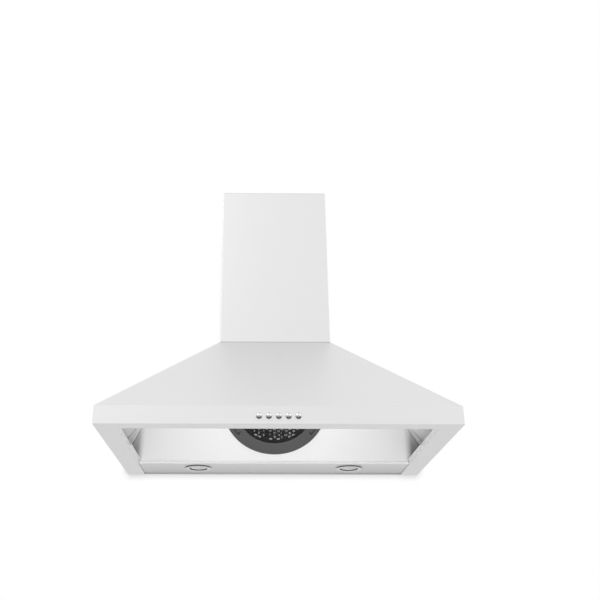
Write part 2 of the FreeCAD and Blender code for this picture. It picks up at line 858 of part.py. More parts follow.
def make_motor():
    """Housing, stator, rotor, shaft, bearings, wheel nut, grommets and screws."""
    radius = of("motor_radius")
    bore = of("shaft_radius")
    distance = of("inlet_distance")
    length = MOTOR_FRONT - MOTOR_REAR
    can_wall = 2
    grommet_height = 4
    grommet_radius = 6.5
    flange_thickness = 2
    flange_front = -(of("scroll_depth") + metal) - grommet_height
    flange_rear = flange_front - flange_thickness

    can = cylinder("motor_can", radius, 0, 0, MOTOR_REAR, length)
    flange = cylinder("motor_flange", MOTOR_FLANGE_RADIUS, 0, 0, flange_rear, flange_thickness)
    hollow_length = length - 2 * MOTOR_CAP
    hollow = cylinder("motor_hollow", radius - can_wall, 0, 0, MOTOR_REAR + MOTOR_CAP, hollow_length)
    seat = cylinder("bearing_seat", BEARING_RADIUS, 0, 0, MOTOR_REAR - 1, length + 2)
    tools = [hollow, seat]
    screws = []
    grommets = []
    for x, y in MOTOR_SCREW_PLACES:
        tools.append(cylinder("flange_hole", MOTOR_SCREW_HOLE, x, y, flange_rear - 1, flange_thickness + 2))
        screws.append(screw("motor_screw", x, y, flange_rear, "Z", -1, 4.5, 3, 2, 10))
        rubber = cylinder("grommet", grommet_radius, x, y, flange_front, grommet_height)
        passage = cylinder("grommet_hole", MOTOR_SCREW_HOLE, x, y, flange_front - 1, grommet_height + 2)
        grommets.append(cut("motor_grommet", rubber, [passage]))
    housing = cut("motor_housing", fuse("motor_body", [can, flange]), tools)
    settle_on_panel(housing, "motor_housing", distance)
    settle_on_panel(together("motor_screws", screws), "motor_screws", distance)
    settle_on_panel(together("motor_grommets", grommets), "motor_grommets", distance)

    core_rear = -72
    core_length = 28
    core_gap = 0.2
    air_gap = 0.5
    rotor_radius = 29.5
    rotor_rear = core_rear + 2
    rotor_length = core_length - 4
    core = cylinder("stator_core", radius - can_wall - core_gap, 0, 0, core_rear, core_length)
    core_bore = cylinder("stator_bore", rotor_radius + air_gap, 0, 0, core_rear - 1, core_length + 2)
    settle_on_panel(cut("motor_stator", core, [core_bore]), "motor_stator", distance)
    drum = cylinder("rotor_drum", rotor_radius, 0, 0, rotor_rear, rotor_length)
    drum_bore = cylinder("rotor_bore", bore + SHAFT_SLACK, 0, 0, rotor_rear - 1, rotor_length + 2)
    settle_on_panel(cut("motor_rotor", drum, [drum_bore]), "motor_rotor", distance)

    shaft_rear = MOTOR_REAR - 4
    shaft_front = -6
    chamfer = 0.6
    shaft = new_body("motor_shaft")
    shaft_profile = Drawing(shaft, "XZ_Plane", "profile", 0)
    shaft_profile.polygon([
        (0, shaft_rear),
        (bore - chamfer, shaft_rear),
        (bore, shaft_rear + chamfer),
        (bore, shaft_front - chamfer),
        (bore - chamfer, shaft_front),
        (0, shaft_front),
    ])
    revolve(shaft, shaft_profile)
    settle_on_panel(shaft, "motor_shaft", distance)

    bearing_slack = 0.05
    bearings = []
    for start in (MOTOR_FRONT - BEARING_WIDTH, MOTOR_REAR):
        outer = cylinder("bearing_outer", BEARING_RADIUS - SHAFT_SLACK, 0, 0, start, BEARING_WIDTH)
        inner = cylinder("bearing_bore", bore + bearing_slack, 0, 0, start - 1, BEARING_WIDTH + 2)
        bearings.append(cut("motor_bearing", outer, [inner]))
    settle_on_panel(together("motor_bearings", bearings), "motor_bearings", distance)

    nut = new_body("impeller_nut")
    hexagon = Drawing(nut, "XY_Plane", "hexagon", HUB_FRONT)
    nut_corner = 7.5
    hexagon.polygon([
        (nut_corner * math.cos(math.radians(60 * i)), nut_corner * math.sin(math.radians(60 * i)))
        for i in range(6)
    ])
    hexagon.circle(0, 0, bore + SHAFT_SLACK)
    pad(nut, hexagon, NUT_HEIGHT)
    settle_on_panel(nut, "impeller_nut", distance)


# ---------------------------------------------------------------- electrical pieces


def make_junction_box():
    """The wiring box on the back panel, with its lid, lid screws, terminal block and cable gland."""
    x0, x1 = -185.0, -95.0
    y0, y1 = -46.0, -metal.value
    z0, z1 = 95.0, 165.0
    wall = 2.0
    lid_thickness = 1.2
    post_inset = 7.0
    post_radius = 4.0
    post_bore = 1.7
    lid_hole = 1.8
    outer = box("junction_outer", x0, x1, y0, -metal, z0, z1)
    inner = box("junction_inner", x0 + wall, x1 - wall, y0 - 1, y1 - wall, z0 + wall, z1 - wall)
    hollow = cut("junction_hollow", outer, [inner])
    post_places = ((x0 + post_inset, z1 - post_inset), (x1 - post_inset, z0 + post_inset))
    posts = []
    holes = []
    screws = []
    lid_holes = []
    for x, z in post_places:
        posts.append(cylinder("lid_post", post_radius, x, y0, z, y1 - y0 - wall / 2, "Y"))
        holes.append(cylinder("lid_post_hole", post_bore, x, y0 - 1, z, 15, "Y"))
        screws.append(screw("lid_screw", x, y0 - lid_thickness, z, "Y", -1, 3.2, 2, 1.6, 12))
        lid_holes.append(cylinder("lid_hole", lid_hole, x, y0 - 3, z, 5, "Y"))
    gland_x, gland_y = -of("cable_offset"), -of("cable_depth")
    gland_radius = 6.0
    gland_gap = 0.2
    holes.append(cylinder("gland_hole", gland_radius + gland_gap, gland_x, gland_y, z1 - 5, 10))
    case = cut("junction_box", fuse("junction_case", [hollow] + posts), holes)
    settle(case, "junction_box")
    settle(together("junction_lid_screws", screws), "junction_lid_screws")

    border = 1.0
    plate = box("lid_plate", x0 - border, x1 + border, y0 - lid_thickness, y0, z0 - border, z1 + border)
    settle(cut("junction_box_lid", plate, lid_holes), "junction_box_lid")

    bar_start = x0 + 15
    bar_length = 42.0
    bar_front = -21.0
    bar_bottom, bar_top = 118.0, 136.0
    entry_count = 4
    entry_pitch = 9.0
    entry_inset = 7.0
    entry_radius = 3.0
    entry_depth = bar_front + 6
    block = box("terminal_bar", bar_start, bar_start + bar_length, bar_front, y1 - wall, bar_bottom, bar_top)
    entries = []
    for i in range(entry_count):
        x = bar_start + entry_inset + entry_pitch * i
        entries.append(cylinder("terminal_entry", entry_radius, x, entry_depth, bar_bottom + 2, 20))
    settle(cut("terminal_block", block, entries), "terminal_block")

    gland = new_body("cable_gland")
    profile = Drawing(gland, "XZ_Plane", "profile", 0)
    bore = of("cable_radius")
    hexagon_radius = 9.5
    hexagon_height = 5.0
    cap_radius = 8.5
    cap_height = 16.0
    profile.polygon([
        (bore, -8),
        (gland_radius, -8),
        (gland_radius, 0),
        (hexagon_radius, 0),
        (hexagon_radius, hexagon_height),
        (cap_radius, hexagon_height),
        (cap_radius, cap_height - 4),
        (cap_radius - 2, cap_height),
        (bore, cap_height),
    ])
    revolve(gland, profile)
    settle(gland, "cable_gland", x=gland_x, y=gland_y, z=z1)


def make_capacitor():
    """The motor's run capacitor in its clip on the back panel."""
    x, y = 150.0, -22.0
    bottom = 96.0
    height = 54.0
    radius = 16.0
    crown_height = 3.0
    top = bottom + height
    can = cylinder("capacitor_can", radius, x, y, bottom, height)
    crown = cylinder("capacitor_crown", radius - 3, x, y, top, crown_height)
    tag_height = 8.0
    tag_half_wide = 3.0
    tag_half_thick = 0.4
    tags = []
    near, far = y - tag_half_wide, y + tag_half_wide
    base = top + crown_height
    for shift in (-5, 5):
        left, right = x + shift - tag_half_thick, x + shift + tag_half_thick
        tags.append(box("capacitor_tag", left, right, near, far, base, base + tag_height))
    settle(fuse("run_capacitor", [can, crown] + tags), "run_capacitor")
    clip_bottom = 118.0
    clip_height = 9.0
    clip_radius = 17.8
    clip_gap = 0.05
    foot_half = 11.0
    band_outer = cylinder("clip_outer", clip_radius, x, y, clip_bottom, clip_height)
    clip_top = clip_bottom + clip_height
    foot = box("clip_foot", x - foot_half, x + foot_half, y + 10, -metal, clip_bottom, clip_top)
    band_inner = cylinder("clip_inner", radius + clip_gap, x, y, clip_bottom - 1, clip_height + 2)
    settle(cut("capacitor_clip", fuse("clip_body", [band_outer, foot]), [band_inner]), "capacitor_clip")


def make_lamp_driver():
    """The lamps' supply on top of the rear strip."""
    bottom = strip_level + metal
    half_long = 55.0
    y0, y1 = -95.0, -60.0
    case_height = 22.0
    cover_height = 2.0
    step = 2.0
    top = bottom + case_height
    case = box("driver_case", -half_long, half_long, y0, y1, bottom, top)
    cover_half = half_long - step
    cover = box("driver_cover", -cover_half, cover_half, y0 + step, y1 - step, top, top + cover_height)
    settle(fuse("lamp_driver", [case, cover]), "lamp_driver")


NECK_OUTER = 29.6
NECK_INNER = 27.6
NECK_TOP = 12.0
LENS_BACK = 3.6
LENS_GAP = 0.3


def make_lamp(label, side):
    """A round lamp: bezel, lens and body, on the strip's hole."""
    x = of("lamp_offset") * side
    y = -of("lamp_depth")
    level = strip_level
    bezel = new_body("lamp_bezel_" + label)
    ring = Drawing(bezel, "XZ_Plane", "profile", 0)
    opening = 22.0
    rim = 35.0
    ring.polygon([
        (opening, 0.9),
        (opening + 2, 0.2),
        (opening + 5, 0),
        (rim - 4, 0),
        (rim - 0.8, 0.7),
        (rim, level),
        (NECK_OUTER, level),
        (NECK_OUTER, NECK_TOP),
        (NECK_INNER, NECK_TOP),
        (NECK_INNER, LENS_BACK),
        (opening, LENS_BACK),
    ])
    revolve(bezel, ring)
    settle(bezel, "lamp_bezel_" + label, x=x, y=y)
    lens = new_body("lamp_lens_" + label)
    dome = Drawing(lens, "XZ_Plane", "profile", 0)
    dome_radius = opening - LENS_GAP
    disc_radius = NECK_INNER - LENS_GAP
    disc_front = LENS_BACK + 0.1
    disc_rear = disc_front + 2
    dome.polygon([
        (0, 0.9),
        (14, 1.1),
        (20, 1.7),
        (dome_radius, 2.6),
        (dome_radius, disc_front),
        (disc_radius, disc_front),
        (disc_radius, disc_rear),
        (0, disc_rear),
    ])
    revolve(lens, dome)
    settle(lens, "lamp_lens_" + label, x=x, y=y)
    holder = new_body("lamp_body_" + label)
    can = Drawing(holder, "XZ_Plane", "profile", 0)
    can_front = disc_rear + 0.2
    flange_bottom = NECK_TOP + 0.2
    flange_top = NECK_TOP + 2
    flange_radius = 33.0
    fin = 26.0
    groove = 23.0
    can_top = 36.0
    can.polygon([
        (0, can_front),
        (disc_radius, can_front),
        (disc_radius, flange_bottom),
        (flange_radius, flange_bottom),
        (flange_radius, flange_top),
        (fin, flange_top),
        (fin, can_top - 16),
        (groove, can_top - 16),
        (groove, can_top - 14),
        (fin, can_top - 14),
        (fin, can_top - 10),
        (groove, can_top - 10),
        (groove, can_top - 8),
        (fin, can_top - 8),
        (fin, can_top - 4),
        (fin - 4, can_top),
        (0, can_top),
    ])
    revolve(holder, can)
    settle(holder, "lamp_body_" + label, x=x, y=y)


def make_lamp_clips():
    """Four leaf springs that press the lamps' necks down onto the strip."""
    top = (strip_level + metal).value
    leaf_half = 4.0
    leaf_thickness = 0.9
    near = NECK_OUTER + 0.1
    far = 43.0
    low = top + 0.05
    leaves = []
    for lamp in (-1, 1):
        for side in (-1, 1):
            corners = [
                (near, NECK_TOP),
                (near, NECK_TOP - 2.4),
                (far - 5, low),
                (far, low),
                (far, top + leaf_thickness),
                (far - 4.6, top + leaf_thickness),
                (near + leaf_thickness, NECK_TOP - 1.6),
                (near + leaf_thickness, NECK_TOP),
            ]
            points = [
                Vector(lamp * of("lamp_offset").value + side * r, -of("lamp_depth").value - leaf_half, z)
                for r, z in corners
            ]
            face = Part.Face(Part.makePolygon(points + points[:1]))
            leaves.append(face.extrude(Vector(0, 2 * leaf_half, 0)))
    clips = document.addObject("Part::Feature", "lamp_clips")
    clips.Shape = Part.makeCompound(leaves)
    settle(clips, "lamp_clips")


# ---------------------------------------------------------------- push-buttons and switch

SWITCH_FRONT = 16.0
CAP_PROUD = 5.0
STEM_RADIUS = 2.5
MIDDLE_BUTTON = (BUTTON_COUNT - 1) / 2


def make_buttons():
    """Five domed push-buttons, each with a retaining flange, a stem and a return spring."""
    radius = of("button_radius")
    flange_radius = 7.8
    flange_front = -1.05
    flange_rear = -2.05
    stem_end = -26.0
    coil_radius = 4.1
    wire_radius = 0.4
    turns = 5.5
    spring_start = 2.5
    spring_length = SWITCH_FRONT - spring_start - wire_radius - 0.05
    for index in range(BUTTON_COUNT):
        label = "button_%d" % (index + 1)
        x = of("button_pitch") * (index - MIDDLE_BUTTON)
        cap = new_body(label)
        profile = Drawing(cap, "XZ_Plane", "profile", 0)
        profile.polygon([
            (0, CAP_PROUD + 0.5),
            (radius * 0.45, CAP_PROUD + 0.2),
            (radius * 0.8, CAP_PROUD - 1.0),
            (radius * 0.96, CAP_PROUD - 2.4),
            (radius, CAP_PROUD - 3.8),
            (radius, flange_front),
            (flange_radius, flange_front),
            (flange_radius, flange_rear),
            (STEM_RADIUS, flange_rear),
            (STEM_RADIUS, stem_end),
            (0, stem_end),
        ])
        revolve(cap, profile)
        settle(cap, label, x=x, y=front, z=of("button_level"), turn=FreeCAD.Rotation(Vector(1, 0, 0), 90))

        path = Part.makeHelix(spring_length / turns, spring_length, coil_radius)
        start = Vector(coil_radius, 0, 0)
        section = Part.Wire([Part.makeCircle(wire_radius, start, Vector(0, 1, 0))])
        coil = Part.Wire(path).makePipeShell([section], True, True)
        spring = document.addObject("Part::Feature", "button_spring_%d" % (index + 1))
        spring.Shape = coil
        settle(
            spring, "button_spring_%d" % (index + 1), x=x, y=front + spring_start, z=of("button_level"),
            turn=FreeCAD.Rotation(Vector(1, 0, 0), -90),
        )


def make_switch():
    """The switch block behind the band, hung from an angled bracket by two screws."""
    half_long = 60.0
    half_high = 12.0
    stem_gap = 0.25
    level = of("button_level")
    top = level + half_high
    near = front + SWITCH_FRONT
    far = front + 33
    block = box("switch_block", -half_long, half_long, near, far, level - half_high, top)
    holes = []
    for index in range(BUTTON_COUNT):
        x = of("button_pitch") * (index - MIDDLE_BUTTON)
        holes.append(cylinder("stem_hole", STEM_RADIUS + stem_gap, x, near - 1, level, 15, "Y"))
    screws = []
    plate_holes = []
    screw_reach = half_long - 6
    screw_depth = near + 8
    for side in (-1, 1):
        x = side * screw_reach
        holes.append(cylinder("screw_hole", 1.6, x, screw_depth, top - 10, 12))
        plate_holes.append(cylinder("bracket_hole", 1.8, x, screw_depth, top - 2, 6))
        screws.append(screw("switch_screw", x, screw_depth, top + metal, "Z", 1, 3.2, 2, 1.5, 9))
    settle(cut("switch_body", block, holes), "switch_body")
    settle(together("switch_screws", screws), "switch_screws")
    plate_half = half_long + 10
    inner_face = front + metal
    plate = box("bracket_plate", -plate_half, plate_half, inner_face, far, top, top + metal)
    tab = box("bracket_tab", -plate_half, plate_half, inner_face, inner_face + metal, top, top + 8)
    settle(cut("switch_bracket", fuse("bracket_body", [plate, tab]), plate_holes), "switch_bracket")


# ---------------------------------------------------------------- duct collar and damper

PIN_RADIUS = 2.0
PIN_SLACK = 0.05


def make_collar():
    """The round outlet collar on the canopy's top plate, its gasket and screws."""
    outer = of("collar_radius")
    bore = COLLAR_BORE
    gasket = 1.5
    flange = 2.5
    height = of("collar_height")
    level = of("damper_level") - roof
    body = new_body("duct_collar")
    profile = Drawing(body, "XZ_Plane", "profile", 0)
    profile.polygon([
        (bore, gasket),
        (COLLAR_FLANGE_RADIUS, gasket),
        (COLLAR_FLANGE_RADIUS, gasket + flange),
        (outer, gasket + flange),
        (outer, height),
        (bore, height),
    ])
    revolve(body, profile)
    tab_half = 8.0
    tab_reach = 4.5
    tab_root = 0.6
    tab_thickness = 2.2
    for side in (-1, 1):
        tab = Drawing(body, "XY_Plane", "stop_tab", level - 3)
        tab.rectangle(-tab_half, tab_half, side * (bore - tab_reach), side * (bore + tab_root))
        pad(body, tab, tab_thickness)
    pin_hole = Drawing(body, "YZ_Plane", "pin_hole", -outer - 1)
    pin_hole.circle(0, level, PIN_RADIUS + PIN_SLACK)
    pocket(body, pin_hole, outer * 2 + 2, backwards=True)
    screw_hole = 1.8
    screw_holes = Drawing(body, "XY_Plane", "screw_holes", gasket)
    screws = []
    for x, y in COLLAR_SCREW_PLACES:
        screw_holes.circle(x, y, screw_hole)
        screws.append(screw("collar_screw", x, y, gasket + flange, "Z", 1, 3.4, 2, 1.6, 9))
    pocket(body, screw_holes, flange, backwards=True)
    settle(body, "duct_collar", y=COLLAR_CENTRE, z=roof)
    settle(together("collar_screws", screws), "collar_screws", y=COLLAR_CENTRE, z=roof)

    seal = cylinder("gasket_disc", COLLAR_FLANGE_RADIUS - 1, 0, 0, 0, gasket)
    holes = [cylinder("gasket_bore", bore, 0, 0, -1, gasket + 2)]
    holes += [cylinder("gasket_hole", screw_hole, x, y, -1, gasket + 2) for x, y in COLLAR_SCREW_PLACES]
    settle(cut("collar_gasket", seal, holes), "collar_gasket", y=COLLAR_CENTRE, z=roof)


def make_damper():
    """Two half-round flaps on one pin across the collar. They lie on stops and lift in the air flow."""
    level = of("damper_level")
    pin_half = of("collar_radius") - 0.2
    pin = cylinder("damper_pin", PIN_RADIUS, -pin_half, 0, 0, pin_half * 2, "X")
    settle(pin, "damper_pin", x=-pin_half, y=COLLAR_CENTRE, z=level)
    flap_radius = COLLAR_BORE - 1.2
    flap_half = 0.6
    straight_edge = -4.1
    knuckle_radius = 3.6
    knuckle_slack = 0.1
    far = COLLAR_BORE * 2
    for label, turn in (("front", 0), ("rear", 180)):
        disc = cylinder("flap_disc", flap_radius, 0, 0, -flap_half, flap_half * 2)
        away = box("flap_trim", -far, far, straight_edge, far, -5, 5)
        half_disc = cut("flap_half", disc, [away])
        knuckles = []
        bores = []
        for x0, x1 in ((-62, -32), (2, 30)):
            knuckles.append(cylinder("knuckle", knuckle_radius, x0, 0, 0, x1 - x0, "X"))
            knuckles.append(box("knuckle_web", x0, x1, straight_edge - 0.9, -2.6, -flap_half, flap_half))
            bore = PIN_RADIUS + knuckle_slack
            bores.append(cylinder("knuckle_bore", bore, x0 - 1, 0, 0, x1 - x0 + 2, "X"))
        flap = cut("damper_flap_" + label, fuse("flap_body", [half_disc] + knuckles), bores)
        settle(
            flap, "damper_flap_" + label, y=COLLAR_CENTRE, z=level,
            turn=FreeCAD.Rotation(Vector(0, 0, 1), turn),
        )


# ---------------------------------------------------------------- chimney covers

REAR_FLANGE = 8.0
UPPER_BACK = -4.0
TOP_SINK = 2.0
BRACKET_HEIGHT = 25.0
EAR_SCREW_DEPTH = -35.0
EAR_HOLE_RADIUS = 2.0


def make_chimney_covers():
    """The fixed lower cover, and the upper cover that slides up out of it."""
    top = of("chimney_top")
    lower = new_body("chimney_lower_cover")
    outline = Drawing(lower, "XY_Plane", "profile", roof)
    inner = half_top - metal
    flange = half_top - REAR_FLANGE
    right = [
        (half_top, chimney_front),
        (half_top, as_size(0)),
        (flange, as_size(0)),
        (flange, -metal),
        (inner, -metal),
        (inner, chimney_front + metal),
    ]
    left = [(-x, y) for x, y in reversed(right)]
    outline.polygon(right + left)
    pad(lower, outline, top - roof)
    corners = [(half_top * side, chimney_front) for side in (-1, 1)]
    round_folds(lower, of("fold_radius"), [((x, y, roof), (x, y, top)) for x, y in corners])
    settle(lower, "chimney_lower_cover")

    slack = of("telescope_gap")
    upper = new_body("chimney_upper_cover")
    outside = inner - slack
    inside = outside - metal
    nose = chimney_front + metal + slack
    bottom = roof + metal
    end = top - TOP_SINK
    profile = Drawing(upper, "XY_Plane", "profile", bottom)
    profile.polygon([
        (-outside, UPPER_BACK),
        (-outside, nose),
        (outside, nose),
        (outside, UPPER_BACK),
        (inside, UPPER_BACK),
        (inside, nose + metal),
        (-inside, nose + metal),
        (-inside, UPPER_BACK),
    ])
    pad(upper, profile, end - bottom)
    corners = [(outside * side, nose) for side in (-1, 1)]
    round_folds(upper, of("fold_radius"), [((x, y, bottom), (x, y, end)) for x, y in corners])
    holes = Drawing(upper, "YZ_Plane", "screw_holes", -outside - 1)
    holes.circle(EAR_SCREW_DEPTH, of("bracket_level") + BRACKET_HEIGHT / 2, EAR_HOLE_RADIUS)
    pocket(upper, holes, outside * 2 + 2, backwards=True)
    settle(upper, "chimney_upper_cover")


def make_ceiling_bracket():
    """The wall bracket that the upper cover's top is screwed to."""
    level = of("bracket_level")
    middle = level + BRACKET_HEIGHT / 2
    wall_half = 121.0
    ear_gap = 0.2
    ear_front = -52.0
    plate = 2.0
    bend = 6.0
    corner = 0.8
    wall_hole = 3.0
    face = half_top - metal - of("telescope_gap")
    ear = face - metal - ear_gap
    jog = ear - wall_half
    body = new_body("ceiling_bracket")
    right = [
        (as_size(wall_half), as_size(0)),
        (as_size(wall_half), as_size(-bend)),
        (ear, -(jog + bend)),
        (ear, as_size(ear_front)),
        (ear - plate, as_size(ear_front)),
        (ear - plate, -(jog + bend + corner)),
        (as_size(wall_half - plate), as_size(-bend - corner)),
        (as_size(wall_half - plate), as_size(-plate)),
    ]
    left = [(-x, y) for x, y in reversed(right)]
    profile = Drawing(body, "XY_Plane", "profile", level)
    profile.polygon(right + left)
    pad(body, profile, BRACKET_HEIGHT)
    ear_holes = Drawing(body, "YZ_Plane", "ear_holes", -half_top)
    ear_holes.circle(EAR_SCREW_DEPTH, middle, EAR_HOLE_RADIUS)
    pocket(body, ear_holes, half_top * 2, backwards=True)
    wall_holes = Drawing(body, "XZ_Plane", "wall_holes", -1)
    for side in (-1, 1):
        wall_holes.circle(of("wall_hole_spacing") / 2 * side, middle, wall_hole)
    pocket(body, wall_holes, plate + 3, backwards=True)
    settle(body, "ceiling_bracket")

    screws = []
    for side in (-1, 1):
        x = face * side
        screws.append(screw("chimney_screw", x, EAR_SCREW_DEPTH, middle, "X", side, 4.2, 1.0, 1.9, 7))
    settle(together("chimney_screws", screws), "chimney_screws")


# ---------------------------------------------------------------- build and export


make_canopy_front()
make_canopy_side("canopy_side_left", -1)
make_canopy_side("canopy_side_right", 1)
make_canopy_top()
make_back_panel()
make_light_strip()
make_inlet_panel()
make_gusset("gusset_left", -1)
make_gusset("gusset_right", 1)
make_inlet_ring()
make_inlet_guard()
make_scroll_wrapper()
make_scroll_back_plate()
make_impeller()
make_motor()
make_junction_box()
make_capacitor()
make_lamp_driver()
make_lamp("left", -1)
make_lamp("right", 1)
make_lamp_clips()
make_buttons()
make_switch()
make_collar()
make_damper()
make_chimney_covers()
make_ceiling_bracket()
document.recompute()

NODES = [
    "canopy_front_sheet", "canopy_side_left", "canopy_side_right", "canopy_top_plate",
    "canopy_back_panel", "rear_light_strip", "inlet_panel", "gusset_left", "gusset_right",
    "inlet_ring", "inlet_guard", "scroll_wrapper", "scroll_back_plate", "impeller", "impeller_nut",
    "motor_shaft", "motor_rotor", "motor_stator", "motor_housing", "motor_bearings",
    "motor_grommets", "motor_screws", "junction_box", "junction_box_lid", "junction_lid_screws",
    "terminal_block", "cable_gland", "run_capacitor", "capacitor_clip", "lamp_driver",
    "lamp_bezel_left", "lamp_bezel_right", "lamp_lens_left", "lamp_lens_right", "lamp_body_left",
    "lamp_body_right", "lamp_clips", "switch_body", "switch_screws", "switch_bracket",
    "duct_collar", "collar_screws", "collar_gasket", "damper_pin", "damper_flap_front",
    "damper_flap_rear", "chimney_lower_cover", "chimney_upper_cover", "ceiling_bracket",
    "chimney_screws",
] + ["button_%d" % n for n in range(1, 6)] + ["button_spring_%d" % n for n in range(1, 6)]

failed = [thing.Name for thing in document.Objects if {"Invalid", "Error"} & set(thing.State)]
if failed:
    raise RuntimeError("features failed: " + ", ".join(failed))
os.makedirs("parts", exist_ok=True)
for node in NODES:
    thing = document.getObjectsByLabel(node)[0]
    shape = thing.Shape
    if shape.isNull() or not shape.isValid() or not shape.Solids:
        raise RuntimeError("a bad shape: " + node)
    shape.exportStep("parts/%s.step" % node)
    bounds = shape.BoundBox
    reach = (bounds.XMin, bounds.XMax, bounds.YMin, bounds.YMax, bounds.ZMin, bounds.ZMax)
    print("%-22s solids %2d" % (node, len(shape.Solids)), " x %.1f..%.1f  y %.1f..%.1f  z %.1f..%.1f" % reach)
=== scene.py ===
"""A wall-mounted chimney range hood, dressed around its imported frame.

The file is laid out as an add-on: property groups for sizes, finishes and the studio, one operator
for each group of like pieces and one for the stage, and a panel that lists them.
"""

import functools
import json
import math

import bmesh
import bpy
import numpy as np
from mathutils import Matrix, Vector


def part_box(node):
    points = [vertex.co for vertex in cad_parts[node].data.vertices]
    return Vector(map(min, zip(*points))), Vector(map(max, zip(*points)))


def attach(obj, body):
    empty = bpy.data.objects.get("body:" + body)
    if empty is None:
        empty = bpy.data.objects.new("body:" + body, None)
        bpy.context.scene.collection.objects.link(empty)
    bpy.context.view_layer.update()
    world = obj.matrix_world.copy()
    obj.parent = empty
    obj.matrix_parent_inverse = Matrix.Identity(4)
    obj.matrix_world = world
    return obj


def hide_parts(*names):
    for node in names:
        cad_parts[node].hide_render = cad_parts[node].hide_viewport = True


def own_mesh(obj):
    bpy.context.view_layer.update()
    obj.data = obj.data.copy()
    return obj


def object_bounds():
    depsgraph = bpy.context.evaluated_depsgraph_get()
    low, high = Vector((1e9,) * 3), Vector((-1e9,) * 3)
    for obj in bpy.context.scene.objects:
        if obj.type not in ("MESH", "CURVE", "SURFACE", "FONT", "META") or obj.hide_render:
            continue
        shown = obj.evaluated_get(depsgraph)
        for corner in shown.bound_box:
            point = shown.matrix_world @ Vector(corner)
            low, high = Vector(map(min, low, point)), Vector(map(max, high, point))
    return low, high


bl_info = {
    "name": "Chimney range hood",
    "version": (1, 0, 0),
    "blender": (4, 5, 0),
    "location": "View3D > Sidebar > Hood",
    "description": "Dresses a wall-mounted chimney range hood and sets up its studio",
    "category": "Object",
}

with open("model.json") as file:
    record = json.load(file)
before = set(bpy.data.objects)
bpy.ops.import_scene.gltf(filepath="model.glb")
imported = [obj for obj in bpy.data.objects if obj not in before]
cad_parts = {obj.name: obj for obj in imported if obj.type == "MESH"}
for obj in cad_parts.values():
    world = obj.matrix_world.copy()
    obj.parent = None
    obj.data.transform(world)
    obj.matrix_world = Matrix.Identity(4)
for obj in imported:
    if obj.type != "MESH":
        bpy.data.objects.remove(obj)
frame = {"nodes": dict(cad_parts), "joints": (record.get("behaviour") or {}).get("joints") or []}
NODES = frame["nodes"]
FRAME_BOX = [[float(value) for value in corner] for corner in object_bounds()]

MM = 0.001
TURN = 2.0 * math.pi


# ------------------------------------------------------------------ places read from the frame


def node_centre(node):
    """The middle of a frame node's box."""
    low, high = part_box(node)
    return np.array([(a + b) / 2.0 for a, b in zip(low, high)])


def canopy_box():
    """The box round all sheets of the canopy."""
    corners = np.array([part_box(node) for node in CANOPY], dtype=float)
    return corners[:, 0].min(axis=0), corners[:, 1].max(axis=0)


def joint_named(name):
    for joint in frame["joints"]:
        if joint["name"] == name:
            return joint
    raise KeyError(name)


SPIN = joint_named("impeller_spin")
INLET_CENTRE = np.array(SPIN["pos_m"], dtype=float)
INLET_NORMAL = np.array(SPIN["axis"], dtype=float)
INLET_RIGHT = np.array([1.0, 0.0, 0.0])
INLET_UP = np.cross(INLET_NORMAL, INLET_RIGHT)
HOOD_BOTTOM = FRAME_BOX[0][2]
HOOD_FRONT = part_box("canopy_front_sheet")[0][1]
CANOPY = ("canopy_front_sheet", "canopy_side_left", "canopy_side_right", "canopy_top_plate")


# ------------------------------------------------------------------ sizes, finishes and studio


def length(name, description, default):
    """A property in metres."""
    return bpy.props.FloatProperty(name=name, description=description, default=default, unit="LENGTH")


def number(name, description, default):
    """A property without a unit."""
    return bpy.props.FloatProperty(name=name, description=description, default=default)


def angle(name, description, degrees):
    """An angle, given here in degrees."""
    return bpy.props.FloatProperty(
        name=name, description=description, default=math.radians(degrees), unit="ROTATION"
    )


def share(name, description, default):
    """A property between 0 and 1."""
    return bpy.props.FloatProperty(
        name=name, description=description, default=default, min=0.0, max=1.0, subtype="FACTOR"
    )


def colour(name, description, default):
    """A linear colour property."""
    return bpy.props.FloatVectorProperty(
        name=name, description=description, default=default, size=3, min=0.0, max=1.0, subtype="COLOR"
    )


class HoodSizes(bpy.types.PropertyGroup):
    """Sizes of the pieces that are drawn here rather than taken from the frame."""

    band_height: length("Band height", "Height of the canopy's upright band", 39.0 * MM)
    button_radius: length("Button radius", "Radius of a push-button's domed cap", 6.25 * MM)
    button_dome: length("Button dome", "Height of the rounded end of a cap", 4.3 * MM)
    flange_radius: length("Button flange radius", "Radius of the flange behind the band", 7.8 * MM)
    stem_radius: length("Button stem radius", "Radius of the stem that reaches the switch", 2.5 * MM)
    spring_radius: length("Spring radius", "Radius of a return spring's centre line", 4.1 * MM)
    spring_wire: length("Spring wire", "Radius of a return spring's wire", 0.4 * MM)
    spring_turns: number("Spring turns", "Turns of a return spring", 5.5)
    ring_bore: length("Ring bore", "Radius of the inlet ring's opening", 91.0 * MM)
    ring_rim: length("Ring rim", "Outer radius of the inlet ring", 124.4 * MM)
    ring_height: length("Ring height", "How far the inlet ring stands off its panel", 7.0 * MM)
    ring_spigot: length("Ring spigot", "How far the inlet ring reaches behind its panel", 9.0 * MM)
    pocket_depth: length("Pocket depth", "Depth of a filter hook's pocket", 3.0 * MM)
    pocket_long: length("Pocket length", "Length of a filter hook's pocket along the ring", 26.0 * MM)
    pocket_wide: length("Pocket width", "Width of a filter hook's pocket across the ring", 9.2 * MM)
    lamp_opening: length("Lamp opening", "Radius of the bezel's opening", 22.0 * MM)
    lamp_rim: length("Lamp rim", "Outer radius of a lamp's bezel", 35.0 * MM)


